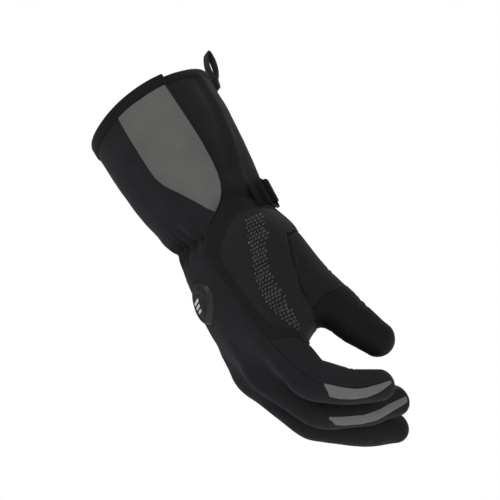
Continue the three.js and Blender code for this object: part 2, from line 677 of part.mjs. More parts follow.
const BUTTON_PLACE = { down: 0.357, turn: 259 };
function buttonHousing() {
  const housing = mound({
    z: -BUTTON_PLACE.down * HAND_LENGTH, turn: BUTTON_PLACE.turn,
    length: HOUSING_LENGTH, width: HOUSING_WIDTH, base: 0, sides: 16,
    profile: [
      { spread: 0.4, height: HOUSING_HEIGHT * 0.72 },
      { spread: 0.62, height: HOUSING_HEIGHT * 0.78 },
      { spread: 0.72, height: HOUSING_HEIGHT },
      { spread: 0.86, height: HOUSING_HEIGHT * 0.8 },
      { spread: 1, height: HOUSING_HEIGHT * 0.25 },
    ],
  });
  return cut(housing, bodyFilled(CLEARANCE));
}

function heatButton() {
  return mound({
    z: -BUTTON_PLACE.down * HAND_LENGTH, turn: BUTTON_PLACE.turn,
    length: BUTTON_LENGTH, width: BUTTON_WIDTH,
    base: CLEARANCE + HOUSING_HEIGHT * 0.78, sides: 16,
    profile: [
      { spread: 0.5, height: BUTTON_HEIGHT },
      { spread: 0.85, height: BUTTON_HEIGHT * 0.85 },
      { spread: 1, height: BUTTON_HEIGHT * 0.4 },
    ],
  });
}

// A thin layer on a finger, between two turns that change along it. The tables run along the
// share of the whole centre line, root included.
function fingerPatch(shape, edges, rows, columns) {
  const table = smoothTable(edges);
  const [from, to] = [edges[0].along, edges[edges.length - 1].along];
  const grid = (out) =>
    steps(from, to, rows).map((along) => {
      const { low, high } = table(along);
      return steps(low, high, columns).map((turn) => fingerPoint(shape, along * shape.total, turn, out));
    });
  const region = slabSolid(grid(REGION.outer), grid(REGION.inner));
  return layer(region, (out) => fingerFilled(shape, out), CLEARANCE, CLEARANCE + PANEL_THICKNESS);
}

const INDEX_STRIP = [
  { along: 0.58, low: 36, high: 41 },
  { along: 0.63, low: 38, high: 72 },
  { along: 0.69, low: 39, high: 75 },
  { along: 0.84, low: 31, high: 63 },
  { along: 0.92, low: 24, high: 51 },
  { along: 0.995, low: 15, high: 30 },
];
const MIDDLE_STRIP = [
  { along: 0.55, low: 55, high: 60 },
  { along: 0.585, low: 57, high: 80 },
  { along: 0.64, low: 57, high: 84 },
  { along: 0.72, low: 57, high: 84 },
  { along: 0.8, low: 48, high: 75 },
  { along: 0.89, low: 36, high: 62 },
  { along: 0.995, low: 27, high: 42 },
];
const THUMB_LEATHER = [
  { along: 0.6, low: 40, high: 90 },
  { along: 0.65, low: 6, high: 190 },
  { along: 0.8, low: 0, high: 215 },
  { along: 0.995, low: 0, high: 215 },
];

function material(colour, roughness, metalness = 0) {
  return new THREE.MeshStandardMaterial({ color: new THREE.Color(colour), roughness, metalness });
}
const softshell = material("#2a2a2c", 0.85);
const cuffCloth = material("#262626", 0.85);
const stretchCloth = material("#202020", 0.9);
const leather = material("#1c1c1c", 0.65);
const webbing = material("#181818", 0.8);
const reflective = material("#5e5e5c", 0.5);
const rubberPrint = material("#2b2b2a", 0.6);
const rubber = material("#1e1e1e", 0.55);
const plastic = material("#111111", 0.45);

const glove = new THREE.Group();
glove.name = "heated_glove";

function add(name, geometry, finish) {
  const mesh = new THREE.Mesh(geometry, finish);
  mesh.name = name;
  glove.add(mesh);
  return mesh;
}

add("cuff_shell", cuffShell(), cuffCloth);
add("cuff_flap", cuffFlap(), softshell);
add("flap_binding", flapBinding(), webbing);
add("rim_binding", rimBinding(), webbing);
add("reflective_panel", reflectivePanel(), reflective);
add("hand_shell", handShell(), softshell);
add("back_panel", backPanel(), stretchCloth);
add("hand_pad", handPad(), rubberPrint);
add("index_finger", fingerSolid("index"), softshell);
add("middle_finger", fingerSolid("middle", "index"), softshell);
add("ring_finger", fingerSolid("ring", "middle"), softshell);
add("little_finger", fingerSolid("little", "ring"), softshell);
add("thumb", fingerSolid("thumb"), softshell);
add("index_strip", fingerPatch(shapes.index, INDEX_STRIP, 9, 2), reflective);
add("middle_strip", fingerPatch(shapes.middle, MIDDLE_STRIP, 10, 2), reflective);
add("thumb_patch", fingerPatch(shapes.thumb, THUMB_LEATHER, 4, 8), leather);
add("wrist_strap", wristStrap(), webbing);
add("button_housing", buttonHousing(), rubber);
add("heat_button", heatButton(), rubber);

const buckle = add("strap_buckle", strapBuckle(), plastic);
buckle.applyMatrix4(buckleFrame);

// The loop's eye opens along X, and it leans out from the rim
const loop = add("pull_loop", pullLoop(), webbing);
const lean = radians(LOOP_PLACE.lean);
const loopFoot = bodyPoint(LOOP_PLACE.up * CUFF_LENGTH, LOOP_PLACE.turn, CLEARANCE);
loopFoot.y += WEBBING_THICKNESS / Math.cos(lean);
const across = new THREE.Vector3(0, Math.cos(lean), -Math.sin(lean));
const upward = new THREE.Vector3(0, Math.sin(lean), Math.cos(lean));
const sideways = new THREE.Vector3(1, 0, 0);
loop.applyMatrix4(new THREE.Matrix4().makeBasis(across, upward, sideways).setPosition(loopFoot));

export default glove;
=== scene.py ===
# %% [markdown]
# # A heated winter glove
# This lesson dresses one right-hand winter glove: a long flared cuff, a padded hand, curled
# fingers, a printed pad on the back, a heat button and a buckled strap. The solid model under it
# gives the sizes and places. Here the cloth gets one continuous skin, which is then cut into the
# panels that the real glove is sewn from.

import bmesh
import bpy
import numpy as np
from mathutils import Matrix, Vector


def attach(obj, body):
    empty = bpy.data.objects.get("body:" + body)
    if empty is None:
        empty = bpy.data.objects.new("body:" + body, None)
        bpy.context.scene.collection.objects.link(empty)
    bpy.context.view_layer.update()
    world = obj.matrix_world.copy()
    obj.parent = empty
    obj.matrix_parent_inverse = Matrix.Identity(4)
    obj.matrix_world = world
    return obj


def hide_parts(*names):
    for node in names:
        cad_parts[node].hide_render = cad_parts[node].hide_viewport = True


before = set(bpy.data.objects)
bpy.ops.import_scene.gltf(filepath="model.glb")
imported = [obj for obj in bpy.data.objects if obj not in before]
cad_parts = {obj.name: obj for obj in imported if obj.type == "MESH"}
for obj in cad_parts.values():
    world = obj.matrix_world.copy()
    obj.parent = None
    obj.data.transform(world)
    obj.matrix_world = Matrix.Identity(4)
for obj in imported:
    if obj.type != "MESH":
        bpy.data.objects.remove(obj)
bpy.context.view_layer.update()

MM = 0.001

# %% [markdown]
# ## The view
# The photograph looks at the thumb's side and the back of the hand, a little from below, and the
# glove is turned in the picture. A long lens from 1.5 m away matches its flat perspective. The lens
# is shifted a little, because the glove isn't in the middle of the picture.

# %% Camera
AZIMUTH, ELEVATION, ROLL = 50, -17, 32
DISTANCE = 1.5
SENSOR = 36
PICTURE = 500
WRIST_PIXEL = (224.5, 231)
MM_PER_PIXEL = 0.8


def view_axes(azimuth, elevation, roll):
    """The picture's right, its up and the way back to the camera, as unit vectors."""
    a, e, r = np.radians([azimuth, elevation, roll])
    back = np.array([np.sin(a) * np.cos(e), -np.cos(a) * np.cos(e), np.sin(e)])
    right = np.array([np.cos(a), np.sin(a), 0])
    up = np.cross(back, right)
    return right * np.cos(r) - up * np.sin(r), right * np.sin(r) + up * np.cos(r), back


def put(name, data):
    """An object of its own in the scene."""
    made = bpy.data.objects.new(name, data)
    bpy.context.collection.objects.link(made)
    return made


PICTURE_RIGHT, PICTURE_UP, TO_CAMERA = view_axes(AZIMUTH, ELEVATION, ROLL)
camera_data = bpy.data.cameras.new("camera")
camera_data.sensor_width = SENSOR
camera_data.lens = SENSOR * DISTANCE / (PICTURE * MM_PER_PIXEL * MM)
camera_data.shift_x = (PICTURE / 2 - WRIST_PIXEL[0]) / PICTURE
camera_data.shift_y = (WRIST_PIXEL[1] - PICTURE / 2) / PICTURE
camera = put("camera", camera_data)
turn_matrix = Matrix([PICTURE_RIGHT, PICTURE_UP, TO_CAMERA]).transposed().to_4x4()
camera.matrix_world = Matrix.Translation(Vector(TO_CAMERA * DISTANCE)) @ turn_matrix
bpy.context.scene.camera = camera
print("lens in mm:", round(camera_data.lens, 1), "picture right:", np.round(PICTURE_RIGHT, 3).tolist())

# %% [markdown]
# ## The body's sections
# The cuff, wrist and hand are one tube whose section changes with height. Each row below is one
# section: its middle, its half width and half depth, the power of its rounded outline (2 is an
# ellipse, more is squarer) and its turn about the vertical. A smooth curve that never overshoots
# runs through the rows, so that a few of them give the whole tube.

# %% Smooth tables
def smooth_table(rows):
    """A monotone cubic through the rows' columns: its slope at each row is the harmonic mean of the
    slopes beside it, and zero where they differ in sign. The first column runs the table."""
    table = np.array(sorted(rows), float)
    at, columns = table[:, 0], table[:, 1:]
    span = np.diff(at)[:, None]
    rise = np.diff(columns, axis=0) / span
    before, after = np.vstack([rise[:1], rise]), np.vstack([rise, rise[-1:]])
    total = np.where(before * after > 0, before + after, 1)
    slope = np.where(before * after > 0, 2 * before * after / total, 0)

    def value(where):
        where = np.clip(where, at[0], at[-1])
        i = np.clip(np.searchsorted(at, where) - 1, 0, len(at) - 2)
        t = ((where - at[i]) / span[i, 0])[..., None]
        p, q, m, n = columns[i], columns[i + 1], slope[i] * span[i], slope[i + 1] * span[i]
        cubic = (2 * p - 2 * q + m + n) * t**3 + (3 * q - 3 * p - 2 * m - n) * t**2
        return np.moveaxis(cubic + m * t + p, -1, 0)

    return value


BODY_ROWS = [
    # height, middle x, middle y, half width, half depth, power, tilt
    (135, 0, 0, 58, 50, 2.2, 0),
    (95, 0, 0, 58, 50, 2.2, 0),
    (60, 0, 0, 56, 48, 2.2, 0),
    (25, 0, 0, 51, 42, 2.2, 0),
    (0, 0, 0, 47, 37.5, 2.2, 0),
    (-20, 0, -3, 49, 39.5, 2.3, -3),
    (-50, -5, -5, 53, 38, 2.4, -8),
    (-80, -9, -8, 52, 34, 2.5, -14),
    (-104, -10.5, -9, 49.5, 28, 2.5, -18),
    (-118, -14, -12, 44.5, 18.5, 2.3, -20),
    (-126, -16, -14, 32, 10, 2.2, -20),
]
body_section = smooth_table(BODY_ROWS)
BODY_END = -126
END_ROUNDING = 4
LEAST_SIZE = 0.05


def body_field(points):
    """About how far each point lies outside the body, its height, and its turn round the section
    (0 at the thumb's side, 270 at the back of the hand). The section's rounded outline is
    |u/a|^n + |v/b|^n = 1, so g, the nth root of that sum, says how many times the outline's size
    a point is out, and (1 - 1/g) times its distance from the middle is the way back."""
    x, y, z = points.T
    mx, my, a, b, n, tilt = body_section(z)
    c, s = np.cos(np.radians(tilt)), np.sin(np.radians(tilt))
    u, v = (x - mx) * c + (y - my) * s, (y - my) * c - (x - mx) * s
    across, deep = np.abs(u / a) ** n, np.abs(v / b) ** n
    g = np.maximum((across + deep) ** (1 / n), LEAST_SIZE)
    out = (1 - 1 / g) * np.hypot(u, v)
    below = np.maximum(BODY_END - z, 0)
    out = np.where(below > 0, np.hypot(np.maximum(out + END_ROUNDING, 0), below) - END_ROUNDING, out)
    turn = np.degrees(np.arctan2(np.sign(v) * np.sqrt(deep), np.sign(u) * np.sqrt(across))) % 360
    return out, z, turn


# %% [markdown]
# ## The fingers
# A finger is a tube along a bent line. The line starts inside the hand at its root, runs through
# the knuckle, and bends at the knuckle and the two joints. Each row holds the knuckle's place, the
# line's angles, the lengths of the three bones, the angles of the two outer joints and the radii
# at root, knuckle, first joint and tip.

# %% Finger lines
FINGERS = {
    # knuckle, root length, root pitch, root splay, splay, pitch, bone lengths, bends, radii, flatness
    "index": ((18.5, -28.2, -100.6), 24, -9, 5, 5, 4, (46, 34, 27), (54, 16), (13, 18, 17.3, 12.6), 0.85),
    "middle": ((-15, -28, -116), 24, -9, 11, 11, 23, (54, 39, 28), (48, 10), (13, 17, 16.8, 13.3), 0.85),
    "ring": ((-47, -15, -107), 24, -9, 13.5, 13.5, 17, (60, 37, 33.5), (35, 17),
             (12, 15.6, 17.2, 13.4), 0.85),
    "little": ((-51.5, 8.6, -94), 24, -9, 10, 10, 15, (42, 27, 24), (14, 17), (11, 14.5, 14, 11.8), 0.85),
    "thumb": ((34, 10, -38), 26, 20, 30, 0, 7, (45, 38, 27), (18, 4), (9, 16, 20.5, 14.6), 0.89),
}
BEND_REACH = 9
TIP_ROUNDING = 0.85
LINE_STEPS = 120


def finger_line(knuckle, root, root_pitch, root_splay, splay, pitch, bones, bends, radii, flat):
    """The finger's line as arrays. Its direction turns by smooth steps at the knuckle and the two
    joints, and its points are the running sum of the directions, moved so that the knuckle lies
    where it should."""
    joints = np.cumsum([root, bones[0], bones[1]])
    total = root + sum(bones)
    s = np.linspace(0, total, LINE_STEPS)
    t = np.clip((s[:, None] - joints + BEND_REACH) / (2 * BEND_REACH), 0, 1)
    turned = t * t * (3 - 2 * t)
    angle = np.radians(root_pitch + turned @ np.array([pitch - root_pitch, *bends], float))
    side_angle = np.radians(root_splay + turned[:, 0] * (splay - root_splay))
    c, d, e, g = np.cos(angle), np.sin(angle), np.cos(side_angle), np.sin(side_angle)
    along = np.stack([g * c, d, -e * c], 1)
    side = np.stack([e, 0 * e, g], 1)
    up = np.cross(along, side)
    points = np.cumsum(along, axis=0) * (total / (LINE_STEPS - 1))
    at = [np.interp(root, s, points[:, k]) for k in range(3)]
    points += np.array(knuckle) - at
    radius = np.interp(s, [0, root, root + bones[0], total], radii)
    return dict(s=s, points=points, along=along, side=side, up=up, radius=radius, flat=flat, total=total)


LINES = {name: finger_line(*row) for name, row in FINGERS.items()}
# Only points within a finger's reach are worked out, and not all of them at once
FAR = 40.0
REACH = 26.0
AT_ONCE = 20000


def finger_field(line, points):
    """How far each point lies outside a finger, its distance along the finger and its turn round it
    (0 at the thumb's side, 90 on the back). The nearest of the line's steps gives the local
    directions, and past the tip the distance is measured to a flattened ball."""
    out, s, turn = np.full(len(points), FAR), np.zeros(len(points)), np.zeros(len(points))
    low, high = line["points"].min(0) - REACH, line["points"].max(0) + REACH
    near = np.flatnonzero(((points > low) & (points < high)).all(1))
    for part in np.array_split(near, max(1, len(near) // AT_ONCE)):
        p = points[part]
        k = ((p * p).sum(1)[:, None] - 2 * p @ line["points"].T + (line["points"] ** 2).sum(1)).argmin(1)
        offset = p - line["points"][k]
        along = (offset * line["along"][k]).sum(1)
        u = (offset * line["side"][k]).sum(1) / line["flat"]
        v = (offset * line["up"][k]).sum(1)
        where = line["s"][k] + along
        past = np.where(where > line["total"], (where - line["total"]) / TIP_ROUNDING, np.minimum(where, 0))
        radius = np.interp(where, line["s"], line["radius"])
        out[part] = np.sqrt(u * u + v * v + past * past) - radius
        s[part], turn[part] = where, np.degrees(np.arctan2(v, u)) % 360
    return np.minimum(out, FAR), s, turn


# %% Join them smoothly
# The fingers join the hand softly, but their tips stay apart, so two blends grow with the height
FINGER_BLEND = 11.0
THUMB_BLEND, TIP_BLEND = 24.0, 3.0
TIPS_BELOW = (-145.0, -112.0)
CROTCH_BLEND, KNUCKLE_BLEND = 2.5, 24.0
KNUCKLES_BELOW = (-158.0, -126.0)


def soft_min(a, b, blend):
    """The lesser of two distances, rounded where they differ by less than the blend."""
    h = np.maximum(blend - np.abs(a - b), 0) / blend
    return np.minimum(a, b) - h * h * blend / 4


def glove_field(points):
    """How far points lie outside the whole glove: the soft minimum of body, fingers and thumb."""
    fingers = finger_field(LINES["index"], points)[0]
    blend = np.interp(points[:, 2], KNUCKLES_BELOW, [CROTCH_BLEND, KNUCKLE_BLEND])
    for name in ("middle", "ring", "little"):
        fingers = soft_min(fingers, finger_field(LINES[name], points)[0], blend)
    body = soft_min(body_field(points)[0], fingers, FINGER_BLEND)
    blend = np.interp(points[:, 2], TIPS_BELOW, [TIP_BLEND, THUMB_BLEND])
    return soft_min(body, finger_field(LINES["thumb"], points)[0], blend)


# %% [markdown]
# ## From distances to a skin
# The field is sampled on a grid of small cubes. A cube that the surface passes through gets one
# point, the mean of the places where its edges cross the surface, and each crossed edge joins the
# four cubes round it with a quad. Two steps along the field's slope then bring every point onto
# the surface.

# %% Surface net
GRID_STEP = 1.6
GRID_LOW = np.array([-72.0, -60.0, -218.0])
GRID_HIGH = np.array([66.0, 84.0, 124.0])
SLOPE_STEP = 0.4


def surface_net(field, low, step):
    """Points and quads of the surface where the field is zero, with faces pointing out."""
    shape = np.array(field.shape) - 1
    unit = np.eye(3, dtype=int)
    total, count = np.zeros((*shape, 3)), np.zeros(shape)
    for axis in range(3):
        p, q = np.delete(unit, axis, axis=0)
        for start in (0 * p, q, p, p + q):
            a, b = (field[tuple(slice(k, k + n) for k, n in zip(corner, shape))]
                    for corner in (start, start + unit[axis]))
            crossed = (a < 0) != (b < 0)
            place = np.zeros((*shape, 3)) + start
            place[..., axis] = np.where(crossed, a / np.where(crossed, a - b, 1), 0)
            total += place * crossed[..., None]
            count += crossed
    cells = np.argwhere(count > 0)
    hit = tuple(cells.T)
    number = np.full(shape, -1)
    number[hit] = np.arange(len(cells))
    points = low + step * (cells + total[hit] / count[hit][:, None])
    quads = []
    for axis, beside in enumerate(([1, 2], [2, 0], [0, 1])):
        a, b = ((field < 0).take(np.arange(shape[axis]) + k, axis) for k in (0, 1))
        edges = np.argwhere(a != b)
        edges = edges[((edges[:, beside] > 0) & (edges[:, beside] < shape[beside])).all(1)]
        p, q = unit[beside]
        ring = [edges - p - q, edges - q, edges, edges - p]
        quad = np.stack([number[tuple(c.T)] for c in ring], 1)
        leaving = a[tuple(edges.T)]
        quads.append(np.where(leaving[:, None], quad, quad[:, ::-1]))
    return points, np.concatenate(quads)


def slopes(points):
    """The field at each point and the direction in which it grows fastest."""
    middle = glove_field(points)
    ahead = [glove_field(points + SLOPE_STEP * way) for way in np.eye(3)]
    return middle, (np.stack(ahead, 1) - middle[:, None]) / SLOPE_STEP


axes = [np.arange(low, high, GRID_STEP) for low, high in zip(GRID_LOW, GRID_HIGH)]
grid = np.stack(np.meshgrid(*axes, indexing="ij"), -1)
field = glove_field(grid.reshape(-1, 3)).reshape(grid.shape[:3])
skin_points, skin_quads = surface_net(field, GRID_LOW, GRID_STEP)
for _ in range(2):
    value, gradient = slopes(skin_points)
    skin_points = skin_points - gradient * (value / (gradient**2).sum(1))[:, None]
skin_faces = np.concatenate([skin_quads[:, [0, 1, 2]], skin_quads[:, [0, 2, 3]]])
del grid, field
print("skin:", len(skin_points), "points,", len(skin_faces), "triangles")

# %% [markdown]
# ## Where each point lies on the glove
# Panels and seams are drawn on the cloth itself. On the body a place is a height and a turn round
# the section, and on a finger it is a distance along it and a turn round it. These are worked out
# once for all points, with the way the skin faces.

# %% Places on the cloth
body_out, height, turn = body_field(skin_points)
finger_places = {name: finger_field(line, skin_points) for name, line in LINES.items()}
gradient = slopes(skin_points)[1]
outward = gradient / np.linalg.norm(gradient, axis=1)[:, None]
print("points in the thumb's reach:", int((finger_places["thumb"][0] < FAR).sum()))

# %% Shapes drawn on the cloth
MM_PER_DEGREE = 0.85


def smooth_outline(points):
    """Corner cutting, done twice: each side keeps its middle half, which rounds the corners off."""
    for _ in range(2):
        following = np.roll(points, -1, axis=0)
        points = np.stack([0.75 * points + 0.25 * following, 0.25 * points + 0.75 * following], 1)
        points = points.reshape(-1, 2)
    return points


def line_distance(points, line, closed=False):
    """The distance to the nearest of a line's straight stretches, whose nearest point is the
    point's shadow on the stretch, kept between its ends."""
    ends = np.roll(line, -1, axis=0) if closed else line[1:]
    best = np.full(len(points), np.inf)
    for a, b in zip(line, ends):
        way = b - a
        t = np.clip(((points - a) @ way) / max(way @ way, 1e-9), 0, 1)
        best = np.minimum(best, np.hypot(*(points - a - t[:, None] * way).T))
    return best


def inside_distance(points, outline):
    """The distance to a closed outline, positive inside. A point is inside where a ray from it
    crosses the outline an odd number of times."""
    inside = np.zeros(len(points), bool)
    x, y = points.T
    for (ax, ay), (bx, by) in zip(outline, np.roll(outline, -1, axis=0)):
        crosses = (ay > y) != (by > y)
        inside ^= crosses & (x < ax + (y - ay) * (bx - ax) / np.where(by == ay, 1e-9, by - ay))
    distance = line_distance(points, outline, closed=True)
    return np.where(inside, distance, -distance)


def on_body(rows):
    """Rows of height and turn as points in millimetres on the unrolled body."""
    rows = np.array(rows, float)
    return np.stack([rows[:, 1] * MM_PER_DEGREE, rows[:, 0]], 1)


# The panels on the back run past turn 360, so turns under this one count on from 360
WRAP_BELOW = 150
unrolled = np.stack([(turn + np.where(turn < WRAP_BELOW, 360, 0)) * MM_PER_DEGREE, height], 1)
print("the unrolled body is", round(float(np.ptp(unrolled[:, 0]))), "mm round")

# %% [markdown]
# ## The panels' outlines
# The glove is sewn from panels, and each outline below is drawn on the unrolled body, as heights
# and turns read off the photograph: the closure flap, the grey reflective panel on it, the
# stretch yoke on the back of the hand and the printed pad on the yoke. The fingers part from the
# hand at seams round their knuckles, and from each other where two of them are equally near.

# %% Outlines on the body
RIM, FLAP_RIM, WRIST_SEAM = 118, 121, -6
FLAP_OUTLINE = [
    (140, 200), (140, 343), (60, 343.5), (38, 343), (24, 341.5), (15, 336.5), (9, 330), (2.5, 316),
    (-3, 303), (-6, 292), (-3, 276), (1, 262), (4, 250), (5, 238), (5, 200),
]
GREY_OUTLINE = [
    (113, 288), (111.5, 314), (112, 340), (80, 341), (56, 342), (38, 341.5), (28, 340), (20, 337),
    (14, 333), (10, 328), (6.5, 321), (4, 314.5), (39, 292), (45, 289), (54, 286.7), (76, 286.5),
]
YOKE_OUTLINE = [
    (3, 306), (4, 313), (4, 326), (3, 346), (0, 358), (-4, 366), (-6, 384), (-10, 400), (-50, 420),
    (-104, 440), (-128, 430), (-130, 370), (-124, 345), (-116, 331), (-106, 325), (-100, 317.5),
    (-91, 317), (-78, 312), (-60, 302), (-44, 293), (-32, 289), (-21, 286), (-12, 287), (-3, 295),
]
PAD_OUTLINE = [
    (-8, 331), (-8, 349), (-10, 361), (-12, 372), (-16, 388), (-40, 396), (-70, 420), (-104, 440),
    (-128, 430), (-126, 400), (-112, 370), (-104, 350), (-100, 342), (-91, 331), (-75, 325),
    (-60, 315), (-44, 306), (-28, 302), (-21, 312), (-15, 323),
]
places = {
    name: inside_distance(unrolled, smooth_outline(on_body(outline)))
    for name, outline in (("flap", FLAP_OUTLINE), ("yoke", YOKE_OUTLINE), ("pad", PAD_OUTLINE))
}
places["grey"] = inside_distance(unrolled, on_body(GREY_OUTLINE))
print({name: int((value > 0).sum()) for name, value in places.items()}, "points inside")

# %% Where the fingers part from the hand and from each other
KNUCKLE_SEAM = 24
THUMB_SEAM = 30
INDEX_SEAM = [  # turn round the index finger, distance from its root
    (-180, 36), (-120, 44), (-49, 47), (-22, 45), (-8, 41), (8, 37), (31, 35), (55, 29), (90, 25),
    (140, 28), (180, 36),
]
reach = {name: place[0] for name, place in finger_places.items()}
signed_turn = {name: (place[2] + 180) % 360 - 180 for name, place in finger_places.items()}
index_from = np.interp(signed_turn["index"], *np.array(INDEX_SEAM, float).T)
places["index"] = np.minimum(finger_places["index"][1] - index_from, reach["middle"] - reach["index"])
for name, beside in (("middle", ("index", "ring")), ("ring", ("middle", "little")), ("little", ("ring",))):
    parted = [reach[other] - reach[name] for other in beside]
    places[name] = np.minimum.reduce([finger_places[name][1] - KNUCKLE_SEAM, *parted])
nearest_finger = np.minimum.reduce([reach[name] for name in reach if name != "thumb"])
hand_reach = soft_min(body_out, nearest_finger, FINGER_BLEND)
places["thumb"] = np.minimum(finger_places["thumb"][1] - THUMB_SEAM, hand_reach - reach["thumb"])
# The knuckle's seam runs out between these turns on the back of the index finger
SEAM_ENDS, SEAM_GONE = (46, 60), 12
places["knuckle"] = np.hypot(places["index"], np.interp(signed_turn["index"], SEAM_ENDS, [0, SEAM_GONE]))
print({name: int((places[name] > 0).sum()) for name in LINES}, "points on the fingers")

# %% [markdown]
# ## Folds
# A filled glove is never smooth. Elastic gathers the outer side of the wrist, the long cuff has a
# soft fold down its front, the cloth sinks above the yoke's arch and pulls in at each seam, and
# the fingers crease inside their joints. A cloth simulation would fold the wall anywhere, and the
# photograph shows where these folds lie, so each is a ridge or a hollow along a line, moved along
# the way the skin faces. Waves in fixed random directions add the slack of padded cloth.

# %% Fold the skin
def along_line(line, width):
    """A bell across a line on the unrolled body: one on it, falling off over the width."""
    return np.exp(-((line_distance(unrolled, on_body(line)) / width) ** 2))


def step_up(value, low, high):
    """A smooth step from 0 at low to 1 at high."""
    t = np.clip((value - low) / (high - low), 0, 1)
    return t * t * (3 - 2 * t)


def slack(points, longest, shortest, count, seed):
    """A sum of sine waves in random directions, each as high as it is long, scaled to about 1."""
    random = np.random.default_rng(seed)
    directions = random.normal(size=(count, 3))
    directions /= np.linalg.norm(directions, axis=1)[:, None]
    lengths = random.uniform(shortest, longest, count)
    phases = random.uniform(0, 2 * np.pi, count)
    waves = np.sin(points @ (2 * np.pi * directions / lengths[:, None]).T + phases)
    return waves @ (lengths / longest) / np.sqrt(count)


WAIST = [(5, 184), (6, 240), (2, 258), (-4, 274), (-7, 292)]
FOLDS = [  # how high a ridge is (a hollow is below 0), its width, and its line on the body
    (1.5, 4, [(112, 379), (77, 377), (42, 369), (20, 362)]),
    (-1.1, 5, [(108, 371), (77, 369), (42, 361), (20, 354)]),
    (-3.2, 3.4, [(5, 316), (7.5, 326), (8, 346), (6, 358), (1, 368)]),
    (1.6, 5, [(17, 336), (18, 342), (17, 352), (13, 364)]),
    (-0.8, 3.5, [(-61, 386), (-70, 384), (-79, 379), (-91, 380)]),
    (0.7, 4, [(-61, 379), (-70, 377), (-79, 372), (-91, 373)]),
]
WAVES = [(0.55, 52, 24, 12, 5), (0.16, 20, 10, 16, 8)]  # height, longest, shortest, count, seed
SEAM_SINK, YOKE_SINK = 0.45, 0.35
on_fingers = np.maximum.reduce([places[name] for name in LINES])
# The elastic begins and ends at these turns. Its pleats lie at uneven steps: their phase wanders
ELASTIC_FROM, ELASTIC_TO = np.array([(184, 200), (284, 300)]) * MM_PER_DEGREE
PLEAT_STEP, GATHER_RISE, GATHER_MIDDLE, GATHER_REACH = 8.5, 1.6, 1, 12
WAIST_DEPTH, WAIST_WIDTH, SWELL_OVER, SWELL_WIDTH = 2.6, 5.5, 14, 7
around = unrolled[:, 0]
outer_wrist = step_up(around, *ELASTIC_FROM) * (1 - step_up(around, *ELASTIC_TO))
pleat = around / PLEAT_STEP + 0.5 * np.sin(around / 11) + height * 0.02 * np.sin(around / 6)
gathers = np.exp(-(((height - GATHER_MIDDLE) / GATHER_REACH) ** 2)) * np.sin(2 * np.pi * pleat)
swell = along_line([(h + SWELL_OVER, t) for h, t in WAIST], SWELL_WIDTH)
lift = outer_wrist * (GATHER_RISE * gathers - WAIST_DEPTH * along_line(WAIST, WAIST_WIDTH) + swell)
for rise, width, line in FOLDS:
    lift += rise * along_line(line, width)
for seam in ("knuckle", "thumb"):
    lift -= SEAM_SINK * np.exp(-((places[seam] / 1.6) ** 2))
lift -= YOKE_SINK * np.exp(-((places["yoke"] / 1.8) ** 2)) * (on_fingers < 0)
# The print and the reflective panel are stiffer, and the rim is held by its tape: they wave less
calm = 1 - 0.7 * step_up(places["pad"], -4, 4) - 0.5 * step_up(places["grey"], -2, 4)
calm *= 1 - 0.97 * step_up(height, RIM - 26, RIM - 8)
lift += calm * sum(rise * slack(skin_points, *waves) for rise, *waves in WAVES)
print("folds from", round(float(lift.min()), 1), "to", round(float(lift.max()), 1), "mm")

# %% Crease the fingers inside their joints
CREASES, CREASE_WIDTH = ((-3, 1.0), (3.5, 0.8)), 1.8  # how far past the joint, how deep
HOUSING = dict(height=-45, turn=259)
HOUSING_CALM = (12, 24)
for name, (out, s, finger_turn) in finger_places.items():
    bones = FINGERS[name][6]
    inside = np.maximum(-np.sin(np.radians(finger_turn)), 0) * (places[name] > 0)
    for joint in np.cumsum([FINGERS[name][1], *bones[:2]])[1:]:
        for shift, depth in CREASES:
            lift -= depth * inside * np.exp(-(((s - joint - shift) / CREASE_WIDTH) ** 2))
housing_place = on_body([(HOUSING["height"], HOUSING["turn"])])[0]
lift *= step_up(np.hypot(*(unrolled - housing_place).T), *HOUSING_CALM)


def facing(points, faces):
    """Each point's way out: the sum of the crossed edges of the triangles round it, as a unit."""
    a, b, c = (points[faces[:, k]] for k in range(3))
    crossed = np.cross(b - a, c - a)
    total = [np.bincount(faces.ravel(), np.repeat(crossed[:, k], 3), len(points)) for k in range(3)]
    total = np.stack(total, 1)
    return total / np.maximum(np.linalg.norm(total, axis=1), 1e-12)[:, None]


folded = skin_points + lift[:, None] * outward
skin = dict(points=folded, faces=skin_faces, facing=facing(folded, skin_faces))
skin.update(places, across=around, height=height)
print("a fold moves a point", round(float(np.abs(lift).mean()), 2), "mm on average")

# %% [markdown]
# ## Cutting and lining a panel
# Scissors for the skin: a panel is the part where a value is above zero. A triangle that the line
# crosses is cut at the points where the value is zero, so that edges come out smooth and not as
# steps. The cut panel then gets its thickness: a copy inside and a band along its edges.

# %% Cut
ON_THE_LINE = 1e-4


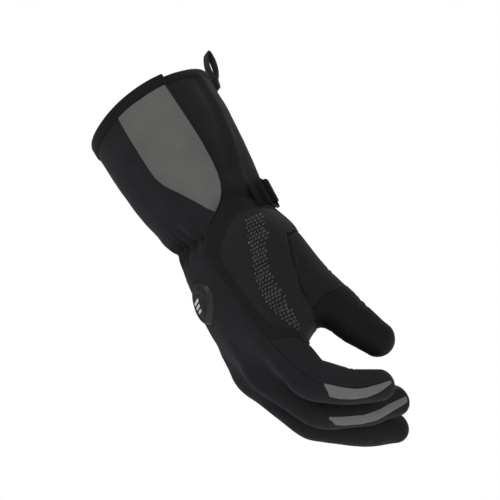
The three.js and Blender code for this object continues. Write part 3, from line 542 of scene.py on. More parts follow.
def clip(cloth, value):
    """The part of a cloth where the value, which runs straight along each edge, is above zero."""
    value = np.where(np.abs(value) < ON_THE_LINE, ON_THE_LINE, value)
    faces = cloth["faces"]
    above = value[faces] > 0
    count = above.sum(1)
    kept, pairs, parts = [faces[count == 3]], [], []
    for odd_count, odd in ((1, above), (2, ~above)):
        crossed = np.flatnonzero(count == odd_count)
        turned = (odd[crossed].argmax(1)[:, None] + np.arange(3)) % 3
        a, b, c = np.take_along_axis(faces[crossed], turned, 1).T
        parts.append((odd_count, a, b, c))
        pairs += [np.stack([a, b], 1), np.stack([a, c], 1)]
    edges, which = np.unique(np.sort(np.concatenate(pairs), 1), axis=0, return_inverse=True)
    which = which.ravel() + len(value)
    lengths = [len(pair) for pair in pairs]
    ab1, ac1, ab2, ac2 = np.split(which, np.cumsum(lengths)[:-1])
    for (odd_count, a, b, c), ab, ac in zip(parts, (ab1, ab2), (ac1, ac2)):
        if odd_count == 1:
            kept.append(np.stack([a, ab, ac], 1))
        else:
            kept += [np.stack([ab, b, c], 1), np.stack([ab, c, ac], 1)]
    share = (value[edges[:, 0]] / (value[edges[:, 0]] - value[edges[:, 1]]))[:, None]
    faces = np.concatenate(kept)
    used, numbered = np.unique(faces, return_inverse=True)
    result = {"faces": numbered.reshape(-1, 3)}
    for name, data in cloth.items():
        if name != "faces":
            t = share if data.ndim == 2 else share[:, 0]
            fresh = data[edges[:, 0]] * (1 - t) + data[edges[:, 1]] * t
            result[name] = np.concatenate([data, fresh])[used]
    return result


def moved_out(cloth, distance):
    """The same cloth, moved along the way it faces."""
    distance = np.broadcast_to(distance, len(cloth["points"]))[:, None]
    return {**cloth, "points": cloth["points"] + distance * cloth["facing"]}


# %% Thicken
def wall(cloth, thickness):
    """Points and faces of a wall: the cloth, its inside turned round, and quads along its edges.
    An edge is a side that only one triangle has."""
    points, faces = cloth["points"], cloth["faces"]
    count = len(points)
    inner = points - thickness * cloth["facing"]
    sides = faces[:, [0, 1, 1, 2, 2, 0]].reshape(-1, 2)
    key, back = sides[:, 0] * count + sides[:, 1], sides[:, 1] * count + sides[:, 0]
    i, j = sides[~np.isin(key, back)].T
    rim = np.stack([j, i, i + count, j + count], 1)
    return np.concatenate([points, inner]), [faces, faces[:, ::-1] + count, rim]


def mesh_from(name, points, faces):
    """A mesh in metres from points in millimetres and arrays of triangles, quads or longer faces."""
    mesh = bpy.data.meshes.new(name)
    corners = np.concatenate([part.ravel() for part in faces]).astype(np.int32)
    sizes = np.concatenate([np.full(len(part), part.shape[1]) for part in faces])
    mesh.vertices.add(len(points))
    mesh.vertices.foreach_set("co", (points * MM).astype(np.float32).ravel())
    mesh.loops.add(len(corners))
    mesh.loops.foreach_set("vertex_index", corners)
    mesh.polygons.add(len(sizes))
    mesh.polygons.foreach_set("loop_start", (np.cumsum(sizes) - sizes).astype(np.int32))
    mesh.update(calc_edges=True)
    mesh.validate()
    mesh.polygons.foreach_set("use_smooth", np.ones(len(mesh.polygons), bool))
    return mesh


def add_piece(name, mesh, finish, replaces=(), sharp=50):
    """Puts a mesh on the glove with its material, and makes edges sharper than an angle crisp."""
    if sharp:
        mesh.set_sharp_from_angle(angle=np.radians(sharp))
    mesh.materials.append(FINISHES[finish])
    piece = put(name, mesh)
    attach(piece, "root")
    if replaces:
        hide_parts(*replaces)
    print(name, "has", len(mesh.polygons), "faces")
    return piece


SEAM_FAR = 30.0
SEAM_COUNT = 3


def corner_points(mesh):
    corner = np.zeros(len(mesh.loops), np.int32)
    mesh.loops.foreach_get("vertex_index", corner)
    return corner


def carry(mesh, uv, seams=(), leather=-SEAM_FAR):
    """Gives a mesh's points the distances to its seams and how far they lie inside the leather, far
    off where there is none, and its corners the cloth's own measures in millimetres as a UV map."""
    values = {f"seam_{k + 1}": seams[k] if k < len(seams) else SEAM_FAR for k in range(SEAM_COUNT)}
    for key, value in {**values, "leather": leather}.items():
        data = (np.zeros(len(mesh.vertices)) + value).astype(np.float32)
        mesh.attributes.new(key, "FLOAT", "POINT").data.foreach_set("value", data)
    uv = uv[corner_points(mesh)].astype(np.float32)
    mesh.uv_layers.new(name="cloth_mm").data.foreach_set("uv", uv.ravel())


def keep_facing(mesh, ways, outer_faces):
    """Shades the outer side by the whole skin's facing, so that a panel's cut edge doesn't show
    as a line of light where the cloth runs on beside it."""
    corner = corner_points(mesh)
    normals = np.zeros(len(corner) * 3, np.float32)
    mesh.corner_normals.foreach_get("vector", normals)
    normals = normals.reshape(-1, 3)
    outer = np.arange(len(corner)) < 3 * outer_faces
    normals[outer] = ways[corner[outer]]
    mesh.normals_split_custom_set(normals)


def cloth_piece(name, cloth, thickness, finish, replaces, seams=(), leather=None,
                fabric=("across", "height")):
    """A panel as a piece, with its wall and what its material asks for. The inside of the wall
    carries the same values as the outside."""
    points, faces = wall(cloth, thickness)
    mesh = mesh_from(name, points, faces)
    hide = np.tile(cloth[leather], 2) if leather else -SEAM_FAR
    uv = np.tile(np.stack([cloth[key] for key in fabric], 1), (2, 1))
    carry(mesh, uv, [np.tile(cloth[seam], 2) for seam in seams], hide)
    add_piece(name, mesh, finish, replaces)
    keep_facing(mesh, cloth["facing"], len(faces[0]))

# %% [markdown]
# ## Node helpers and shared effects
# Three effects come back in most of the glove's materials, so each is a node group: a plain weave
# that follows the cloth's own measures, a seam's groove at a distance of zero from a line, and
# the uneven darkness of cloth that has been handled. A group gives only heights and masks, and
# each material wires them to its own shader.

# %% Wiring nodes
def wire(tree, kind, inputs=None, **settings):
    """Adds a node, sets it up and gives its inputs a value or a link each."""
    made = tree.nodes.new("ShaderNode" + kind)
    for key, value in settings.items():
        setattr(made, key, value)
    for key, value in (inputs or {}).items():
        if isinstance(value, bpy.types.NodeSocket):
            tree.links.new(value, made.inputs[key])
        else:
            made.inputs[key].default_value = value
    return made


def between(tree, share, first, second):
    """One number turning into another by a mask."""
    return wire(tree, "Mix", {0: share, 2: first, 3: second}, data_type="FLOAT").outputs[0]


def maths(tree, operation, *values):
    return wire(tree, "Math", dict(enumerate(values)), operation=operation).outputs[0]


def mixed(tree, share, first, second):
    """One colour turning into another by a mask."""
    made = wire(tree, "Mix", {0: share, 6: first, 7: second}, data_type="RGBA", clamp_factor=True)
    return made.outputs[2]


def ramp(tree, value, low, high):
    """A value between low and high as a smooth step from 0 to 1."""
    inputs = {"Value": value, "From Min": low, "From Max": high}
    return wire(tree, "MapRange", inputs, interpolation_type="SMOOTHSTEP").outputs[0]


def group(name, inputs, outputs):
    """An empty node group with named number inputs and outputs."""
    tree = bpy.data.node_groups.new(name, "ShaderNodeTree")
    for key, (kind, value) in inputs.items():
        socket = tree.interface.new_socket(key, in_out="INPUT", socket_type="NodeSocket" + kind)
        if value is not None:
            socket.default_value = value
    for key in outputs:
        tree.interface.new_socket(key, in_out="OUTPUT", socket_type="NodeSocketFloat")
    return tree, tree.nodes.new("NodeGroupInput").outputs, tree.nodes.new("NodeGroupOutput").inputs


# %% The weave group
def make_weave():
    """Warp and weft as crossed sine waves: each thread is a ridge, over and under by turns."""
    tree, given, out = group(
        "cloth_weave", {"Place": ("Vector", None), "Threads per mm": ("Float", 2.0)}, ["Height", "Gap"]
    )
    turns = maths(tree, "MULTIPLY", given["Threads per mm"], 2 * np.pi)
    place = wire(tree, "VectorMath", {0: given["Place"], "Scale": turns}, operation="SCALE").outputs[0]
    axis = wire(tree, "SeparateXYZ", {0: place}).outputs
    across, along = (maths(tree, "MULTIPLY", axis[k], 0.5) for k in (0, 1))
    warp, weft = (maths(tree, "ABSOLUTE", maths(tree, "SINE", half)) for half in (across, along))
    over = maths(tree, "MULTIPLY", maths(tree, "COSINE", across), maths(tree, "COSINE", along))
    threads = between(tree, maths(tree, "MULTIPLY_ADD", over, 0.5, 0.5), warp, weft)
    tree.links.new(threads, out["Height"])
    # The gap mask, near one between the threads, is wired to painted shade in the cloth's colour
    tree.links.new(ramp(tree, threads, 0.25, 0.0), out["Gap"])
    return tree


# %% The seam group
def make_seam():
    """The nearest of three seams, each an attribute that is zero on its line: a groove beside it,
    the puckers that the stitches pull into the cloth, and a mask for painted shade in the groove."""
    inputs = {"Width": ("Float", 1.0), "Place": ("Vector", None)}
    tree, given, out = group("sewn_seam", inputs, ["Height", "Shade"])
    nearest = None
    for k in range(SEAM_COUNT):
        value = wire(tree, "Attribute", attribute_name=f"seam_{k + 1}").outputs["Fac"]
        distance = maths(tree, "ABSOLUTE", value)
        nearest = distance if nearest is None else maths(tree, "MINIMUM", nearest, distance)
    near = maths(tree, "DIVIDE", nearest, given["Width"])
    groove = ramp(tree, near, 0.0, 1.0)
    noise = wire(tree, "TexNoise", {"Vector": given["Place"], "Scale": 0.33, "Detail": 1.0})
    pucker = maths(tree, "MULTIPLY", noise.outputs[0], ramp(tree, near, 4.5, 0.5))
    tree.links.new(maths(tree, "ADD", groove, pucker), out["Height"])
    # The shade mask, zero on the seam, paints shade into the groove's colour
    tree.links.new(ramp(tree, near, 0.0, 0.6), out["Shade"])
    return tree


# %% The handled-cloth group
def make_handled():
    """Broad clouds where the pile lies differently, and fine flecks of lint."""
    inputs = {"Place": ("Vector", None), "Clouds": ("Float", 60.0), "Flecks": ("Float", 1400.0)}
    tree, given, out = group("handled_cloth", inputs, ["Cloud", "Fleck"])
    cloud = wire(tree, "TexNoise", {"Vector": given["Place"], "Scale": given["Clouds"], "Detail": 3.0})
    fleck = wire(tree, "TexNoise", {"Vector": given["Place"], "Scale": given["Flecks"], "Detail": 1.0})
    tree.links.new(ramp(tree, cloud.outputs[0], 0.3, 0.7), out["Cloud"])
    tree.links.new(ramp(tree, fleck.outputs[0], 0.35, 0.75), out["Fleck"])
    return tree


WEAVE, SEAM, HANDLED = make_weave(), make_seam(), make_handled()
print("node groups:", [tree.name for tree in (WEAVE, SEAM, HANDLED)])

# %% [markdown]
# ## Fabrics and leather
# The shell is a matt black softshell, a little blue in the light, with a weave too fine to see
# from afar. Dark cloth like this shows its form only by its soft sheen, so the sheen matters more
# than the colour. On the palm's side the same pieces are sewn on in leather: the "leather" value
# turns the cloth's finish into grained leather where it is above zero.

# %% Softshell
def placed(tree, kind, inputs):
    """The outputs of one of the node groups, put in a material."""
    return wire(tree, "Group", inputs, node_tree=kind).outputs


def new_material(name, rough, specular, sheen=0.0, sheen_tint=(1, 1, 1)):
    """A material's shader with its constants, and the tree to wire the rest in."""
    made = bpy.data.materials.new(name)
    made.use_nodes = True
    shader = made.node_tree.nodes["Principled BSDF"]
    constants = {
        "Roughness": rough, "Specular IOR Level": specular, "Metallic": 0.0,
        "Sheen Weight": sheen, "Sheen Roughness": 0.5, "Sheen Tint": (*sheen_tint, 1),
    }
    for socket, value in constants.items():
        shader.inputs[socket].default_value = value
    return made, made.node_tree, shader


def rgb(colour, times=1):
    return (*[times * part for part in colour], 1.0)


def bumped(tree, shader, layers):
    """Bump nodes in a chain, each with its height, its strength and its depth in millimetres."""
    normal = None
    for height_value, strength, depth in layers:
        inputs = {"Strength": strength, "Distance": depth * MM, "Height": height_value}
        if normal is not None:
            inputs["Normal"] = normal
        normal = wire(tree, "Bump", inputs).outputs[0]
    tree.links.new(normal, shader.inputs["Normal"])


GRAIN_SCALE, GROOVE_WIDTH = 900, 0.9
# The gap and groove shares paint shade into the colour: darker in the weave's gaps and along seams
LINT_SHARE, GAP_SHADE_SHARE, GROOVE_SHADE_SHARE = 0.35, 0.5, 0.75  # how far each changes the colour


def cloth_finish(name, dark, light, leather, threads, sheen, tint, rough):
    """Woven cloth between its dark and its light by the clouds, paler at flecks of lint, with painted
    shade darkening the weave's gaps, a grained hide where "leather" is above zero, and painted shade
    in a dark groove along each seam and the hide's edge."""
    made, tree, shader = new_material(name, rough, 0.12, sheen, tint)
    own = wire(tree, "UVMap", uv_map="cloth_mm").outputs[0]
    place = wire(tree, "TexCoord").outputs["Object"]
    weave = placed(tree, WEAVE, {"Place": own, "Threads per mm": threads})
    seam = placed(tree, SEAM, {"Width": GROOVE_WIDTH, "Place": own})
    handled = placed(tree, HANDLED, {"Place": place, "Clouds": 45.0, "Flecks": 1500.0})
    cloth = mixed(tree, handled["Cloud"], rgb(dark), rgb(light))
    cloth = mixed(tree, maths(tree, "MULTIPLY", handled["Fleck"], LINT_SHARE), cloth, rgb(light, 1.5))
    # Painted shade: the colour darkens in the weave's gaps
    cloth = mixed(tree, maths(tree, "MULTIPLY", weave["Gap"], GAP_SHADE_SHARE), cloth, rgb(dark, 0.5))
    grain = wire(tree, "TexVoronoi", {"Vector": place, "Scale": GRAIN_SCALE}, distance="EUCLIDEAN").outputs[0]
    hide = mixed(tree, ramp(tree, grain, 0.0, 0.5), rgb([leather] * 3), rgb([leather] * 3, 1.7))
    inside = wire(tree, "Attribute", attribute_name="leather").outputs["Fac"]
    mask = ramp(tree, inside, -0.3, 0.3)
    edge = ramp(tree, maths(tree, "ABSOLUTE", inside), 0.0, GROOVE_WIDTH)
    base = mixed(tree, mask, cloth, hide)
    # Painted shade: the colour darkens to near black along each seam and the hide's edge
    shade = maths(tree, "MULTIPLY", seam["Shade"], edge)
    groove = mixed(tree, GROOVE_SHADE_SHARE, base, rgb((0.001, 0.001, 0.001)))
    base = mixed(tree, shade, groove, base)
    tree.links.new(base, shader.inputs["Base Color"])
    fibre = maths(tree, "MULTIPLY_ADD", handled["Fleck"], 0.12, rough - 0.05)
    tree.links.new(between(tree, mask, fibre, 0.5), shader.inputs["Roughness"])
    fine = between(tree, mask, weave["Height"], grain)
    bumped(tree, shader, [
        (fine, 0.35, 0.12), (handled["Cloud"], 0.35, 0.8), (seam["Height"], 0.8, 0.5), (edge, 0.8, 0.5),
    ])
    return made


CLOTH_ROWS = [
    # name, dark, light, leather, threads per mm, sheen, its tint, roughness
    ("softshell", (0.0105, 0.0108, 0.012), (0.0135, 0.0138, 0.0155), 0.007, 2.2, 0.05, (0.8, 0.87, 1), 0.78),
    ("cuff_cloth", (0.0085, 0.0085, 0.0086), (0.011, 0.0108, 0.0105), 0.007, 2.2, 0.05,
     (1, 0.98, 0.94), 0.78),
    ("stretch_cloth", (0.0072, 0.0072, 0.007), (0.0092, 0.009, 0.0087), 0.007, 2.8, 0.05,
     (1, 0.96, 0.92), 0.78),
    ("leather", (0.0042, 0.0042, 0.0042), (0.0054, 0.0054, 0.0052), 0.0045, 2.2, 0.03, (0.8, 0.87, 1), 0.6),
    ("rubber_print", (0.0098, 0.0097, 0.0094), (0.012, 0.0118, 0.0115), 0.007, 1.6, 0.07,
     (1, 0.97, 0.93), 0.66),
    ("webbing", (0.019, 0.019, 0.019), (0.024, 0.024, 0.024), 0.007, 0.9, 0.08, (1, 1, 1), 0.78),
    ("strap_webbing", (0.0028, 0.0028, 0.0028), (0.0042, 0.0042, 0.0042), 0.003, 0.9, 0.03, (1, 1, 1), 0.78),
    ("reflective", (0.104, 0.103, 0.0985), (0.116, 0.1145, 0.109), 0.05, 1.9, 0.05, (1, 1, 1), 0.62),
    # The strips are the panel's grey reflective cloth made about a third paler, as painted light on the
    # fingers' sides, which the lamps light less
    ("reflective_strip_painted_light", (0.135, 0.134, 0.13), (0.15, 0.1485, 0.144), 0.05, 1.9, 0.05, (1, 1, 1), 0.62),
    ("binding_tape", (0.0062, 0.0062, 0.0063), (0.008, 0.008, 0.008), 0.007, 1.1, 0.05, (1, 1, 1), 0.78),
]
FINISHES = {row[0]: cloth_finish(*row) for row in CLOTH_ROWS}
print("cloth materials:", list(FINISHES))

# %% Moulded plastics and rubber
def moulded(name, colour, rough, specular, grain):
    """Plastic or rubber: a fine spark-eroded grain, and broad random clouds a little paler, as from wear."""
    made, tree, shader = new_material(name, rough, specular)
    place = wire(tree, "TexCoord").outputs["Object"]
    handled = placed(tree, HANDLED, {"Place": place, "Clouds": 90.0, "Flecks": grain})
    worn = mixed(tree, handled["Cloud"], rgb(colour), rgb(colour, 1.35))
    tree.links.new(worn, shader.inputs["Base Color"])
    roughness = maths(tree, "MULTIPLY_ADD", handled["Fleck"], 0.15, rough - 0.07)
    tree.links.new(roughness, shader.inputs["Roughness"])
    bumped(tree, shader, [(handled["Fleck"], 0.3, 0.1)])
    return made


MOULDED_ROWS = [
    # name, colour, roughness, specular level, grain
    ("black_plastic", (0.003, 0.003, 0.0032), 0.6, 0.15, 1800.0),
    ("button_rubber", (0.0075, 0.0076, 0.008), 0.5, 0.4, 1500.0),
    ("print_bits", (0.034, 0.0335, 0.032), 0.5, 0.4, 1500.0),
    ("pale_mark", (0.62, 0.62, 0.62), 0.5, 0.4, 1500.0),
]
FINISHES.update({row[0]: moulded(*row) for row in MOULDED_ROWS})
print("all materials:", len(FINISHES))

# %% [markdown]
# ## The cuff
# The cuff is one tube of lined cloth. The closure flap wraps over its outer side and ends in a
# rounded point over the wrist, and the tube lies a little deeper under it.

# %% Cuff and flap
LINED, FLAP_THICK, GREY_THICK = 2.4, 1.6, 0.5
CUFF_UNDER = 1.3
FLAP_OVER = 0.6
# The gathered side of the flap lies flat on the cuff, up to these turns
FLAP_LIES_TO = np.array([292, 306]) * MM_PER_DEGREE
GREY_OVER, GREY_TOP = FLAP_OVER + 0.35, 112


def without(cloth, names):
    """What is left of a cloth when other panels are cut off it."""
    for name in names:
        cloth = clip(cloth, -cloth[name])
    return cloth


cuff = clip(skin, np.minimum(skin["height"] - WRIST_SEAM, RIM - skin["height"]))
cuff = without(cuff, ["thumb"])
cuff["wrist"] = cuff["height"] - WRIST_SEAM
cuff = moved_out(cuff, -CUFF_UNDER * step_up(cuff["flap"], 0, 3))
cloth_piece("cuff_tube", cuff, LINED, "cuff_cloth", ["cuff_shell"], seams=["wrist"])

flap = clip(skin, np.minimum(skin["flap"], FLAP_RIM - skin["height"]))
gathered = 1 - step_up(flap["across"], *FLAP_LIES_TO)
flap = moved_out(flap, FLAP_OVER * (1 - gathered * (1 - step_up(flap["flap"], 0, 6))))
cloth_piece("closure_flap", flap, FLAP_THICK, "softshell", ["cuff_flap"], seams=["flap"])

grey = clip(skin, np.minimum(skin["grey"], GREY_TOP - skin["height"]))
cloth_piece("grey_panel", moved_out(grey, GREY_OVER), GREY_THICK, "reflective", ["reflective_panel"])

# %% [markdown]
# ## The hand
# The hand's cloth is left when the fingers, the thumb and the cuff are cut off the skin. The
# yoke, a smooth stretch panel, lies on its back, and the padded print lies on the yoke with a soft
# raised edge. The palm's side is leather: its edge runs where the sine of the turn round the hand
# or a finger passes a level, and the radius there makes the distance from it millimetres.

# %% Hand, yoke and pad
PALM_LEVEL, PALM_RADIUS, PALM_TOP = 0.28, 42, -14
FINGER_LEVEL, FINGER_RADIUS = 0.2, 17
THUMB_FRONT = 7
YOKE_THICK, PAD_THICK = 0.9, 1.0
YOKE_OVER, PAD_OVER, PAD_RISE = 0.3, 0.45, 0.9
skin["leather"] = np.minimum((np.sin(np.radians(turn)) - PALM_LEVEL) * PALM_RADIUS, PALM_TOP - height)
for name, (out, s, finger_turn) in finger_places.items():
    on_finger = (-np.sin(np.radians(finger_turn)) - FINGER_LEVEL) * FINGER_RADIUS
    if name == "thumb":
        on_finger -= THUMB_FRONT
    skin["leather"] = np.where(places[name] > 0, on_finger, skin["leather"])
hand = without(clip(skin, WRIST_SEAM - skin["height"]), LINES)
hand["wrist"] = WRIST_SEAM - hand["height"]
cloth_piece("hand_cloth", hand, LINED, "softshell", ["hand_shell"], ["knuckle", "thumb", "wrist"], "leather")

yoke = without(clip(skin, skin["yoke"]), ["index", "thumb"])
yoke = moved_out(yoke, YOKE_OVER * step_up(yoke["yoke"], -0.5, 1.5))
cloth_piece("back_yoke", yoke, YOKE_THICK, "stretch_cloth", ["back_panel"], ["yoke", "knuckle", "thumb"])

pad = without(clip(skin, skin["pad"]), ["index", "thumb"])
pad = moved_out(pad, PAD_OVER + PAD_RISE * step_up(pad["pad"], 0, 3))
cloth_piece("printed_pad", pad, PAD_THICK, "rubber_print", ["hand_pad"], ["knuckle", "thumb"])

# %% [markdown]
# ## The fingers
# Each finger is cut from the skin at its seams, so that neighbours meet cloth to cloth. The index
# and the middle finger carry a grey reflective strip along their outer side, drawn by the turn
# round the finger against the distance along it, and the thumb's end is wrapped in leather.

# %% Measures along each finger
STRIPS = {  # distance along the finger, turn of the lower edge and turn of the upper one
    "index": [(75, 36, 37), (82, 37, 73), (91, 38, 76), (101, 36, 71), (110, 31, 65), (120, 25, 54),
              (134, 13, 24)],
    "middle": [(79, 56, 57), (84, 54, 82), (92, 55, 88), (105, 54, 88), (116, 45, 79), (130, 33, 66),
               (149, 20, 42)],
}
STRIP_OVER, STRIP_THICK = 0.35, 0.5
SIDE_MM_PER_DEGREE = 0.3
INDEX_SIDE = [(29, 55), (38, 54), (52, 53), (63, 42), (71, 39), (76, 39), (90, 39), (131, 16)]
LEATHER_CAP = [(0, 86), (27, 82), (51, 80), (84, 81), (120, 84), (215, 92), (300, 92), (360, 86)]
CAP_OVER, CAP_THICK = 0.45, 0.8
ON_FINGER = ("round", "along")


def finger_cloth(name):
    """A finger cut from the skin, with its own measures: how far along, and how far round as the
    turn in radians times the radius there."""
    part, line = clip(skin, skin[name]), LINES[name]
    out, along, finger_turn = finger_field(line, part["points"])
    middle = (finger_turn + 90) % 360 - 90
    radius = np.interp(along, line["s"], line["radius"])
    part.update(along=along, turn=middle, round=np.radians(middle) * radius)
    return part


def strip_distance(part, rows):
    """How far a point lies inside a strip, in millimetres: the lesser distance to its edges."""
    s, low, high = np.array(rows, float).T
    per_degree = np.radians(FINGER_RADIUS)
    below = (part["turn"] - np.interp(part["along"], s, low)) * per_degree
    above = (np.interp(part["along"], s, high) - part["turn"]) * per_degree
    return np.minimum.reduce([below, above, part["along"] - s[0], s[-1] - part["along"]])


# %% Fingers, strips and thumb leather
for name in LINES:
    part = finger_cloth(name)
    seams = {"index": ["knuckle", "side"], "thumb": ["thumb", "cap"]}.get(name, [])
    if name == "index":
        s, line_turn = np.array(INDEX_SIDE, float).T
        side = (part["turn"] - np.interp(part["along"], s, line_turn)) * SIDE_MM_PER_DEGREE
        part["side"] = np.where(part["along"] < s[-1], side, SEAM_FAR)
    if name == "thumb":
        part["cap"] = part["along"] - np.interp(part["turn"] % 360, *np.array(LEATHER_CAP, float).T)
        cap = moved_out(clip(part, part["cap"]), CAP_OVER)
        cloth_piece("thumb_leather", cap, CAP_THICK, "leather", ["thumb_patch"], fabric=ON_FINGER)
    node, finish = ("thumb", "cuff_cloth") if name == "thumb" else (f"{name}_finger", "softshell")
    cloth_piece(f"{name}_cloth", part, LINED, finish, [node], seams, "leather", ON_FINGER)
    if name in STRIPS:
        # The strips take the paler copy of the reflective cloth, which is painted light
        strip = moved_out(clip(part, strip_distance(part, STRIPS[name])), STRIP_OVER)
        cloth_piece(f"{name}_grey_strip", strip, STRIP_THICK, "reflective_strip_painted_light", [f"{name}_strip"],
                    fabric=ON_FINGER)

# %% [markdown]
# ## Tapes and webbing
# A folded tape binds the cuff's rim and the flap's upper edge, and a strap of webbing runs round
# the thumb's side of the wrist. All are a flat profile carried round the body: at each turn the
# profile's points have a distance out of the cloth and a height.

# %% Carry a profile
def superellipse(angle, power):
    """Points of |x|^p + |y|^p = 1: the circle's cosine and sine to the power 2/p, signs kept."""
    return [np.sign(f(angle)) * np.abs(f(angle)) ** (2 / power) for f in (np.cos, np.sin)]


def body_points(z, turn, out):
    """Places on the body by height, turn and distance outside the cloth: each is on the rounded
    outline |u/a|^n + |v/b|^n = 1 with the distance added to both half sizes."""
    mx, my, a, b, n, tilt = body_section(z)
    x, y = superellipse(np.radians(turn), n)
    u, v = (a + out) * x, (b + out) * y
    ct, st = np.cos(np.radians(tilt)), np.sin(np.radians(tilt))
    return np.stack([mx + u * ct - v * st, my + u * st + v * ct, z + 0 * turn], -1)


def tube_faces(rings, sides, closed):
    """Quads between rings of points, and a many-sided face on each open end."""
    i = np.arange(rings if closed else rings - 1)[:, None]
    j = np.arange(sides)[None]
    a, b = i * sides + j, i * sides + (j + 1) % sides
    c, d = (i + 1) % rings * sides + (j + 1) % sides, (i + 1) % rings * sides + j
    faces = [np.stack([a, b, c, d], -1).reshape(-1, 4)]
    if not closed:
        faces.append(np.arange(sides)[None, ::-1])
        faces.append(np.arange(sides)[None] + (rings - 1) * sides)
    return faces


def plain_cloth(name, grid, finish, replaces, closed=False, flip=False):
    """A tube of points as a piece of webbing: its map runs along it and across it in millimetres."""
    rings, sides = grid.shape[:2]
    faces = tube_faces(rings, sides, closed)
    if flip:
        faces = [part[:, ::-1] for part in faces]
    mesh = mesh_from(name, grid.reshape(-1, 3), faces)
    step = np.linalg.norm(np.diff(grid[:, 0], axis=0), axis=1)
    along = np.repeat(np.concatenate([[0], np.cumsum(step)]), sides)
    across = np.concatenate([[0], np.cumsum(np.linalg.norm(np.diff(grid[0], axis=0), axis=1))])
    carry(mesh, np.stack([along, np.tile(across, rings)], 1))
    add_piece(name, mesh, finish, replaces, sharp=40)


# %% Bindings
RIM_TAPE = [  # distance out, height
    (0.7, 112.4), (0.95, 113), (0.95, 117.6), (0.6, 118.6), (-0.3, 119.1), (-1.7, 119.1),
    (-2.6, 118.6), (-2.95, 117.6), (-2.95, 113), (-2.7, 112.4),
]
FLAP_TAPE = [
    (1.4, 112.2), (1.75, 112.8), (1.75, 120.4), (1.3, 121.4), (0.4, 121.8), (-0.4, 121.6),
    (-1.1, 120.8), (-1.1, 112.8), (-0.9, 112.3),
]
FLAP_FROM, FLAP_TO, TAPE_DROP = 200, 343, 0.4
ring_turns = np.linspace(0, 360, 180, endpoint=False)[:, None]
sunk = step_up(ring_turns, FLAP_FROM - 2, FLAP_FROM + 2) * (1 - step_up(ring_turns, FLAP_TO - 2, FLAP_TO + 2))
out, z = np.array(RIM_TAPE).T
grid = body_points(z - TAPE_DROP * sunk, ring_turns, out - CUFF_UNDER * sunk)
plain_cloth("rim_tape", grid, "binding_tape", ["rim_binding"], closed=True)
out, z = np.array(FLAP_TAPE).T
grid = body_points(z[None], np.linspace(FLAP_FROM, FLAP_TO, 90)[:, None], out)
plain_cloth("flap_tape", grid, "binding_tape", ["flap_binding"])

# %% [markdown]
# ## The strap and its slider
# The webbing comes round from the palm's side, climbs over the slider's middle bar and dives
# under its frame, so its height over the cloth follows the way from the bar. The slider is
# the solid model's own, with its edges rounded as moulded plastic is.

# %% Strap
STRAP_HEIGHT, STRAP_WIDTH, STRAP_THICK, STRAP_OVER = 2, 20, 1.3, 0.5
BUCKLE_TURN, BUCKLE_HEIGHT, BUCKLE_LENGTH, BUCKLE_THICK = 32, 25, 22, 2.2
BUCKLE_LIFT, BAR_GAP = 1.3, 0.3
CLIMB = [(0, 1), (0.18, 1), (0.58, 0.06), (0.75, 0), (9, 0)]  # way from the bar, part of its height
high, low, middle = (body_points(STRAP_HEIGHT + h, BUCKLE_TURN, 0)
                     for h in (BUCKLE_HEIGHT / 2, -BUCKLE_HEIGHT / 2, 0))
bar_top = np.linalg.norm((high + low) / 2 - middle) + BUCKLE_LIFT + BUCKLE_THICK + BAR_GAP
before, after = (body_points(STRAP_HEIGHT, BUCKLE_TURN + k, 0) for k in (-1, 1))
half_turn = BUCKLE_LENGTH / np.linalg.norm(after - before)
# The steps are finer round the slider, where the webbing climbs
strap_turns = np.concatenate([np.linspace(4, 60, 90), np.linspace(61, 150, 66)])[:, None]
over = smooth_table(CLIMB)(np.abs(strap_turns - BUCKLE_TURN) / half_turn)[0] * bar_top
half, top = STRAP_WIDTH / 2, STRAP_THICK
profile = [(-half, 0.3), (-half + 0.5, 0), (half - 0.5, 0), (half, 0.3), (half, 0.9), (half - 0.6, top),
           (-half + 0.6, top), (-half, 0.9)]
up, thick = np.array(profile).T
grid = body_points(STRAP_HEIGHT + up[None], strap_turns, STRAP_OVER + over + thick)
plain_cloth("strap_webbing", grid, "strap_webbing", ["wrist_strap"], flip=True)

# %% Slider
# The solid's corners are merged and its flat faces joined, so that only real edges get a bevel
EDGE_ROUNDING = 0.5
slider_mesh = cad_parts["strap_buckle"].data.copy()
work = bmesh.new()
work.from_mesh(slider_mesh)
bmesh.ops.remove_doubles(work, verts=work.verts, dist=0.01 * MM)
bmesh.ops.dissolve_limit(work, angle_limit=np.radians(1), verts=work.verts, edges=work.edges)
work.to_mesh(slider_mesh)
work.free()
slider_mesh.materials.clear()
slider = add_piece("slider", slider_mesh, "black_plastic", ["strap_buckle"], sharp=0)
bevel = slider.modifiers.new("rounded edges", "BEVEL")
bevel.width, bevel.segments, bevel.limit_method = EDGE_ROUNDING * MM, 3, "ANGLE"

# %% [markdown]
# ## The pull loop
# A finger's width of webbing, doubled over and sewn to the cuff. Its line goes up one side of a
# long eye and down the other, and the flat profile follows it.

# %% Loop
LOOP_LENGTH, LOOP_WIDTH, LOOP_GAP, LOOP_FOOT, LOOP_THICK = 37, 8, 6, 8, 1.2
LOOP_TURN, LOOP_HEIGHT, LOOP_LEAN = 63, 0.91 * RIM, 19
LOOP_OVER, LOOP_CHAMFER = 0.3, 0.3
share = np.linspace(0, 1, 40)
eye = LOOP_LENGTH - LOOP_FOOT
opened = LOOP_GAP / 2 * np.sin(np.pi * share) ** 0.75 + LOOP_THICK / 2
side_line = np.stack([opened, LOOP_FOOT + share * eye], 1)
side_line[-1, 0] = 0
foot = np.stack([np.full(6, LOOP_THICK / 2), np.linspace(0, LOOP_FOOT - 1, 6)], 1)
right_line = np.concatenate([foot, side_line])
line = np.concatenate([right_line, (right_line * [-1, 1])[-2::-1]])
way = np.gradient(line, axis=0)
way /= np.linalg.norm(way, axis=1)[:, None]
normal = np.stack([way[:, 1], -way[:, 0]], 1)
